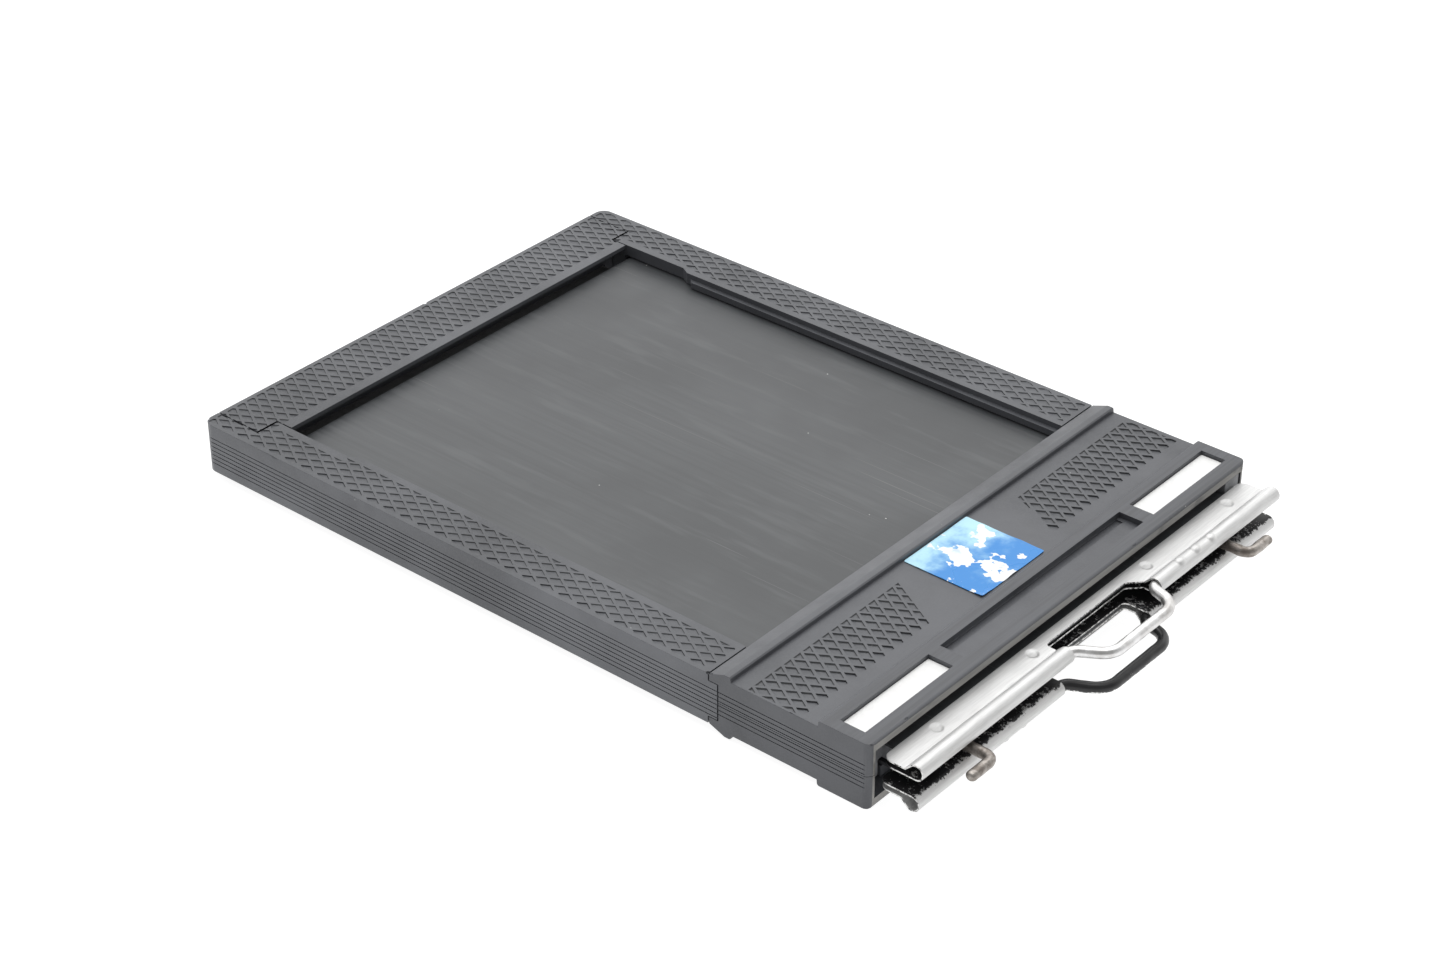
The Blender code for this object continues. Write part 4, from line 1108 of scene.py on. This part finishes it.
# ---- wires ----
BAIL_R = (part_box("upper_wire_loop")[1].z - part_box("upper_wire_loop")[0].z) / 2 / MM
LOOP_X = mm_x(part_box("upper_wire_loop")[1].x) - BAIL_R
LOOP_HALF = 14.3
LOOP_NEAR = 8.9                   # the bow is fuller on its far side
LOOP_FAR = 11.4
LOOP_BEND = 2.6
LOOP_MORE = {"upper": 0.25, "lower": 1.1}      # how much further out the enamelled wire bows
LOOP_OUTER = {"upper": (4.6, 4.3), "lower": (5.0, 4.4)}   # bends of the bow's two corners
LOOP_LAST_BEND = 2.2              # bend where the bow goes back into the roll
HOOK_Y = 41.625
HOOK_BEND = 1.8
HOOK_HEAD = 2.0                   # length of the hook's head and where its neck ends
HOOK_NECK_END = 4.2
HOOK_NECK_THIN = 0.25
HOOK_FLAT = 0.12                  # share by which the foot is pressed flat


def bent_path(corners, radii, step=0.35):
    """Points through corners with each inner corner bent to its radius, evenly spaced."""
    path = [corners[0]]
    for before, corner, after, radius in zip(corners, corners[1:], corners[2:], radii):
        a = (before - corner).normalized()
        b = (after - corner).normalized()
        half = a.angle(b) / 2
        start = corner + a * (radius / math.tan(half))
        end = corner + b * (radius / math.tan(half))
        centre = corner + (a + b).normalized() * (radius / math.sin(half))
        for i in range(15):
            path.append(centre + (start - centre).normalized().slerp(
                (end - centre).normalized(), i / 14) * radius)
    path.append(corners[-1])
    even = []
    for a, b in zip(path, path[1:]):
        count = max(1, round((b - a).length / step))
        even += [a.lerp(b, i / count) for i in range(count)]
    return even + [path[-1]]


def tube(name, path, radii, sides=22, dent=0.0, squash=None):
    """Round wire along a path in millimetres, with slight dents and domed ends."""
    bm = bmesh.new()
    rows = []
    flat = Vector((0, 0, 1))
    total = len(path)
    for i, p in enumerate(path):
        ahead = path[min(i + 1, total - 1)] - path[max(i - 1, 0)]
        across = flat.cross(ahead).normalized()
        r = radii[i]
        row = []
        for k in range(sides):
            a = math.tau * k / sides
            d = across * math.cos(a) + flat * math.sin(a) * (squash[i] if squash else 1.0)
            wobble = 1 + dent * noise.noise(p * 0.55 + d * 1.3)
            q = p + d * r * wobble
            row.append(bm.verts.new(at(q.x, q.y, q.z)))
        rows.append(row)
    skin(bm, rows)
    return new_object(name, mesh_from(bm, name))


def domed(path, radii, radius):
    """Shrink the radii near both ends so the wire ends are rounded off."""
    out = list(radii)
    for end in (0, -1):
        for i, p in enumerate(path):
            d = (p - path[end]).length
            if d < radius * 0.5:
                t = 1 - d / (radius * 0.5)
                out[i] = min(out[i], radii[i] * math.sqrt(max(0.05, 1 - 0.75 * t * t)))
    return out


def build_loop(side, mat):
    """Pull loop: straight runs inside the roll and a bow out through the window."""
    sign = HANDLE_MARKS[side][0]
    low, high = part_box(f"{side}_wire_loop")
    mid = (low.y + high.y) / 2 / MM
    run = (high.y - low.y) / 2 / MM
    z = sign * ROLL_Z
    shift = LOOP_BEND * 0.6
    out = LOOP_X + LOOP_MORE[side]
    corners = [Vector(c) for c in (
        (ROLL_X, mid - run, z), (ROLL_X, mid - LOOP_HALF + shift, z), (out, mid - LOOP_NEAR, z),
        (out, mid + LOOP_FAR, z), (ROLL_X, mid + LOOP_HALF - 0.8, z), (ROLL_X, mid + run, z))]
    path = bent_path(corners, (LOOP_BEND, *LOOP_OUTER[side], LOOP_LAST_BEND))
    radii = domed(path, [BAIL_R] * len(path), BAIL_R)
    ob = tube(f"{side}_pull_loop", path, radii, 24, dent=0.035)
    finish_wire(ob, f"{side}_wire_loop", mat,
                f"{side}_slide")


def finish_wire(ob, node, mat, body):
    """Material, shading and place of a wire."""
    ob.data.materials.append(mat)
    smooth(ob, 50.0)
    stand_in(ob, node, body)


def build_hook(side, sign, mat):
    """Lock hook: headed stem, thin neck, bend and a foot pressed slightly flat."""
    low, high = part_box(f"{side}_lock_hook")
    head_r = (high.z - low.z) / 2 / MM
    stem_r = head_r - 0.15
    x0 = mm_x(low.x)
    x_far = mm_x(high.x) - stem_r
    tip = (low.y if sign < 0 else high.y) / MM
    y = sign * HOOK_Y
    corners = [Vector((x0, y, 0)), Vector((x_far, y, 0)), Vector((x_far, tip - sign * 0.3, 0))]
    path = bent_path(corners, (HOOK_BEND,), 0.25)
    radii, squash = [], []
    for p in path:
        along = p.x - x0
        foot = abs(p.y - y)
        neck = stem_r - HOOK_NECK_THIN if along < HOOK_NECK_END else stem_r
        radii.append(head_r if along < HOOK_HEAD else neck)
        squash.append(1.0 - HOOK_FLAT * min(1.0, max(0.0, (foot - 2.5) / 3.0)))
    ob = tube(f"{side}_turn_hook", path, domed(path, radii, stem_r * 1.4), 22, 0.06, squash)
    finish_wire(ob, f"{side}_lock_hook", mat, f"{side}_hook")


# ---- label ----
LABEL_ROUND = 0.35
LABEL_THICK = 0.13
LABEL_CELLS = 54
LABEL_CURL = 0.28                 # how high the rim may lift, millimetres
LABEL_CURL_SPAN = 0.07            # how far in from the rim, as a share of the side


def label_point(u, v, x0, x1, y0, y1):
    """Plan point of the label from grid values 0..1, its corners rounded off."""
    x, y = x0 + (x1 - x0) * u, y0 + (y1 - y0) * v
    cx = min(max(x, x0 + LABEL_ROUND), x1 - LABEL_ROUND)
    cy = min(max(y, y0 + LABEL_ROUND), y1 - LABEL_ROUND)
    dx, dy = x - cx, y - cy
    far = math.hypot(dx, dy)
    if dx and dy:
        k = max(abs(dx), abs(dy)) / far
        x, y = cx + dx * k, cy + dy * k
    return x, y


def build_label(mat):
    """Thin sticker with rounded corners, its rim lifting a little in places."""
    low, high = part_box("upper_label")
    x0, x1 = mm_x(low.x), mm_x(high.x)
    y0, y1 = low.y / MM, high.y / MM
    base = mm_z(low.z)
    bm = bmesh.new()
    grid = {}
    for i in range(LABEL_CELLS + 1):
        for j in range(LABEL_CELLS + 1):
            u, v = i / LABEL_CELLS, j / LABEL_CELLS
            x, y = label_point(u, v, x0, x1, y0, y1)
            rim = min(u, 1 - u, v, 1 - v)
            lifted = max(0.0, noise.noise(Vector((x, y, 0)) * 0.22))
            curl = max(0.0, 1 - rim / LABEL_CURL_SPAN) ** 2 * lifted
            wave = 0.012 * noise.noise(Vector((x * 0.5, y * 0.5, 3.0)))
            z = base + 0.02 + LABEL_CURL * curl + wave
            grid[i, j] = (bm.verts.new(at(x, y, z)), bm.verts.new(at(x, y, z + LABEL_THICK)))
    shell_faces(bm, grid, LABEL_CELLS, LABEL_CELLS)
    ob = new_object("panel_sticker", mesh_from(bm, "panel_sticker"))
    ob.data.materials.append(mat)
    smooth(ob)
    stand_in(ob, "upper_label", "frame")


# ---- soft strips ----
def soft_strip(node, name, body, mat, step, ragged, lumps):
    """Cloth or plush strip: a fine grid with an uneven face and slightly ragged rim."""
    low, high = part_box(node)
    nx = max(4, round((high.x - low.x) / MM / step))
    ny = max(4, round((high.y - low.y) / MM / step))
    mid_z, half_z = (low.z + high.z) / 2, (high.z - low.z) / 2
    bm = bmesh.new()
    grid = {}
    for i in range(nx + 1):
        for j in range(ny + 1):
            u, v = i / nx, j / ny
            x, y = low.x + (high.x - low.x) * u, low.y + (high.y - low.y) * v
            here = Vector((x, y, 0)) / MM
            if i in (0, nx):
                x += (1 if i == 0 else -1) * ragged * MM * (0.5 + 0.5 * noise.noise(here * 2.1))
            if j in (0, ny):
                y += (1 if j == 0 else -1) * ragged * MM * (0.5 + 0.5 * noise.noise(here * 1.9))
            rim = min(i, nx - i, j, ny - j)
            thick = half_z * (0.72 if rim == 0 else 1.0)
            fall = lumps * MM * (0.5 + 0.5 * noise.noise(here * 1.7))
            weave = lumps * MM * 0.4 * ((i + j) % 2)
            top, bottom = thick - fall - weave, thick - fall - lumps * MM * 0.4 + weave
            grid[i, j] = (bm.verts.new((x, y, mid_z - bottom)), bm.verts.new((x, y, mid_z + top)))
    shell_faces(bm, grid, nx, ny)
    ob = new_object(name, mesh_from(bm, name))
    ob.data.materials.append(mat)
    ob.data.shade_smooth()
    stand_in(ob, node, body)


build_camera()
build_studio()

BODY_GREY = (0.069, 0.072, 0.080)
# lighter grey of the rounded edges: partly wear, partly painted highlight
EDGE_GREY_WEAR_AND_HIGHLIGHT = (0.084, 0.087, 0.094)
# near-black grey of the pocket walls: painted shade where the recesses fall into shadow
WALL_SHADE_GREY = (0.027, 0.028, 0.030)
# paler grey of the outer flats: painted light from the pale floor
SIDE_GREY_PAINTED_LIGHT = (0.096, 0.100, 0.110)
moulded_face = moulded("moulded_face", BODY_GREY, 0.40)
moulded_edge_wear_and_highlight = moulded("moulded_edge_wear_and_highlight", EDGE_GREY_WEAR_AND_HIGHLIGHT, 0.38, wear_and_highlight=0.7)
moulded_side_painted_light = moulded("moulded_side_painted_light", SIDE_GREY_PAINTED_LIGHT, 0.42)
pocket_wall = moulded("moulded_pocket_wall_painted_shade", WALL_SHADE_GREY, 0.6)
end_wall = end_face("moulded_end_wall")
bar_top = brushed_top("moulded_bar_top", BODY_GREY)
BODY_MATS = (moulded_face, moulded_edge_wear_and_highlight, pocket_wall, moulded_side_painted_light)
BLOCK_MATS = (moulded_face, moulded_edge_wear_and_highlight, pocket_wall, end_wall, bar_top)

build_rail("near", -1, BODY_MATS)
build_rail("far", 1, BODY_MATS)
build_flap(BODY_MATS)
build_block("upper", 1, BLOCK_MATS)
build_block("lower", -1, BLOCK_MATS)

slide_mat = slide_sheet("slide_satin")
plate_mat = black_plate("plate_black")
cloth_mat = woven_black("cloth_woven", 0.35 * MM)
plush_mat = woven_black("plush_pile", 0.2 * MM)
spring_mat = spring_bronze("spring_strip_rolled")
white_mat = writing_white("writing_white")
wire_mat = dull_steel("hook_steel")
edge_mat = speckled_edge("handle_cut_edge")
core_mat = moulded("core_resin", (0.20, 0.205, 0.215), 0.5)

for side in ("upper", "lower"):
    plain_copy(f"{side}_dark_slide", f"{side}_slide_blade", f"{side}_slide",
               slide_mat, 0.12 * MM)
    soft_strip(f"{side}_light_trap_plush", f"{side}_trap_plush", "frame", plush_mat, 0.8, 0.3, 0.1)
    plain_copy(f"{side}_light_trap_spring", f"{side}_trap_spring", "frame",
               spring_mat, 0.05 * MM)
    for edge in ("near", "far"):
        plain_copy(f"{side}_{edge}_writing_strip", f"{side}_{edge}_strip", "frame",
                   white_mat, 0.08 * MM)
plain_copy("septum_plate", "septum_sheet", "frame", plate_mat, 0.08 * MM)
plain_copy("near_film_guide", "near_guide_channel", "frame", plate_mat, 0.06 * MM)
plain_copy("far_film_guide", "far_guide_channel", "frame", plate_mat, 0.06 * MM)
soft_strip("flap_hinge_cloth", "flap_cloth", "flap", cloth_mat, 0.7, 0.15, 0.03)
soft_strip("septum_hinge_cloth", "septum_cloth", "frame", cloth_mat, 0.7, 0.1, 0.03)
plain_copy("block_core", "core_spacer", "frame", core_mat, 0.12 * MM)

build_handle("upper", (handle_finish("upper_handle_finish", 1), edge_mat))
build_handle("lower", (handle_finish("lower_handle_finish", -1), edge_mat))
build_loop("upper", satin_wire("upper_loop_wire"))
build_loop("lower", chipped_wire("lower_loop_wire"))
build_hook("near", -1, wire_mat)
build_hook("far", 1, wire_mat)
build_label(printed_label("sticker_print"))
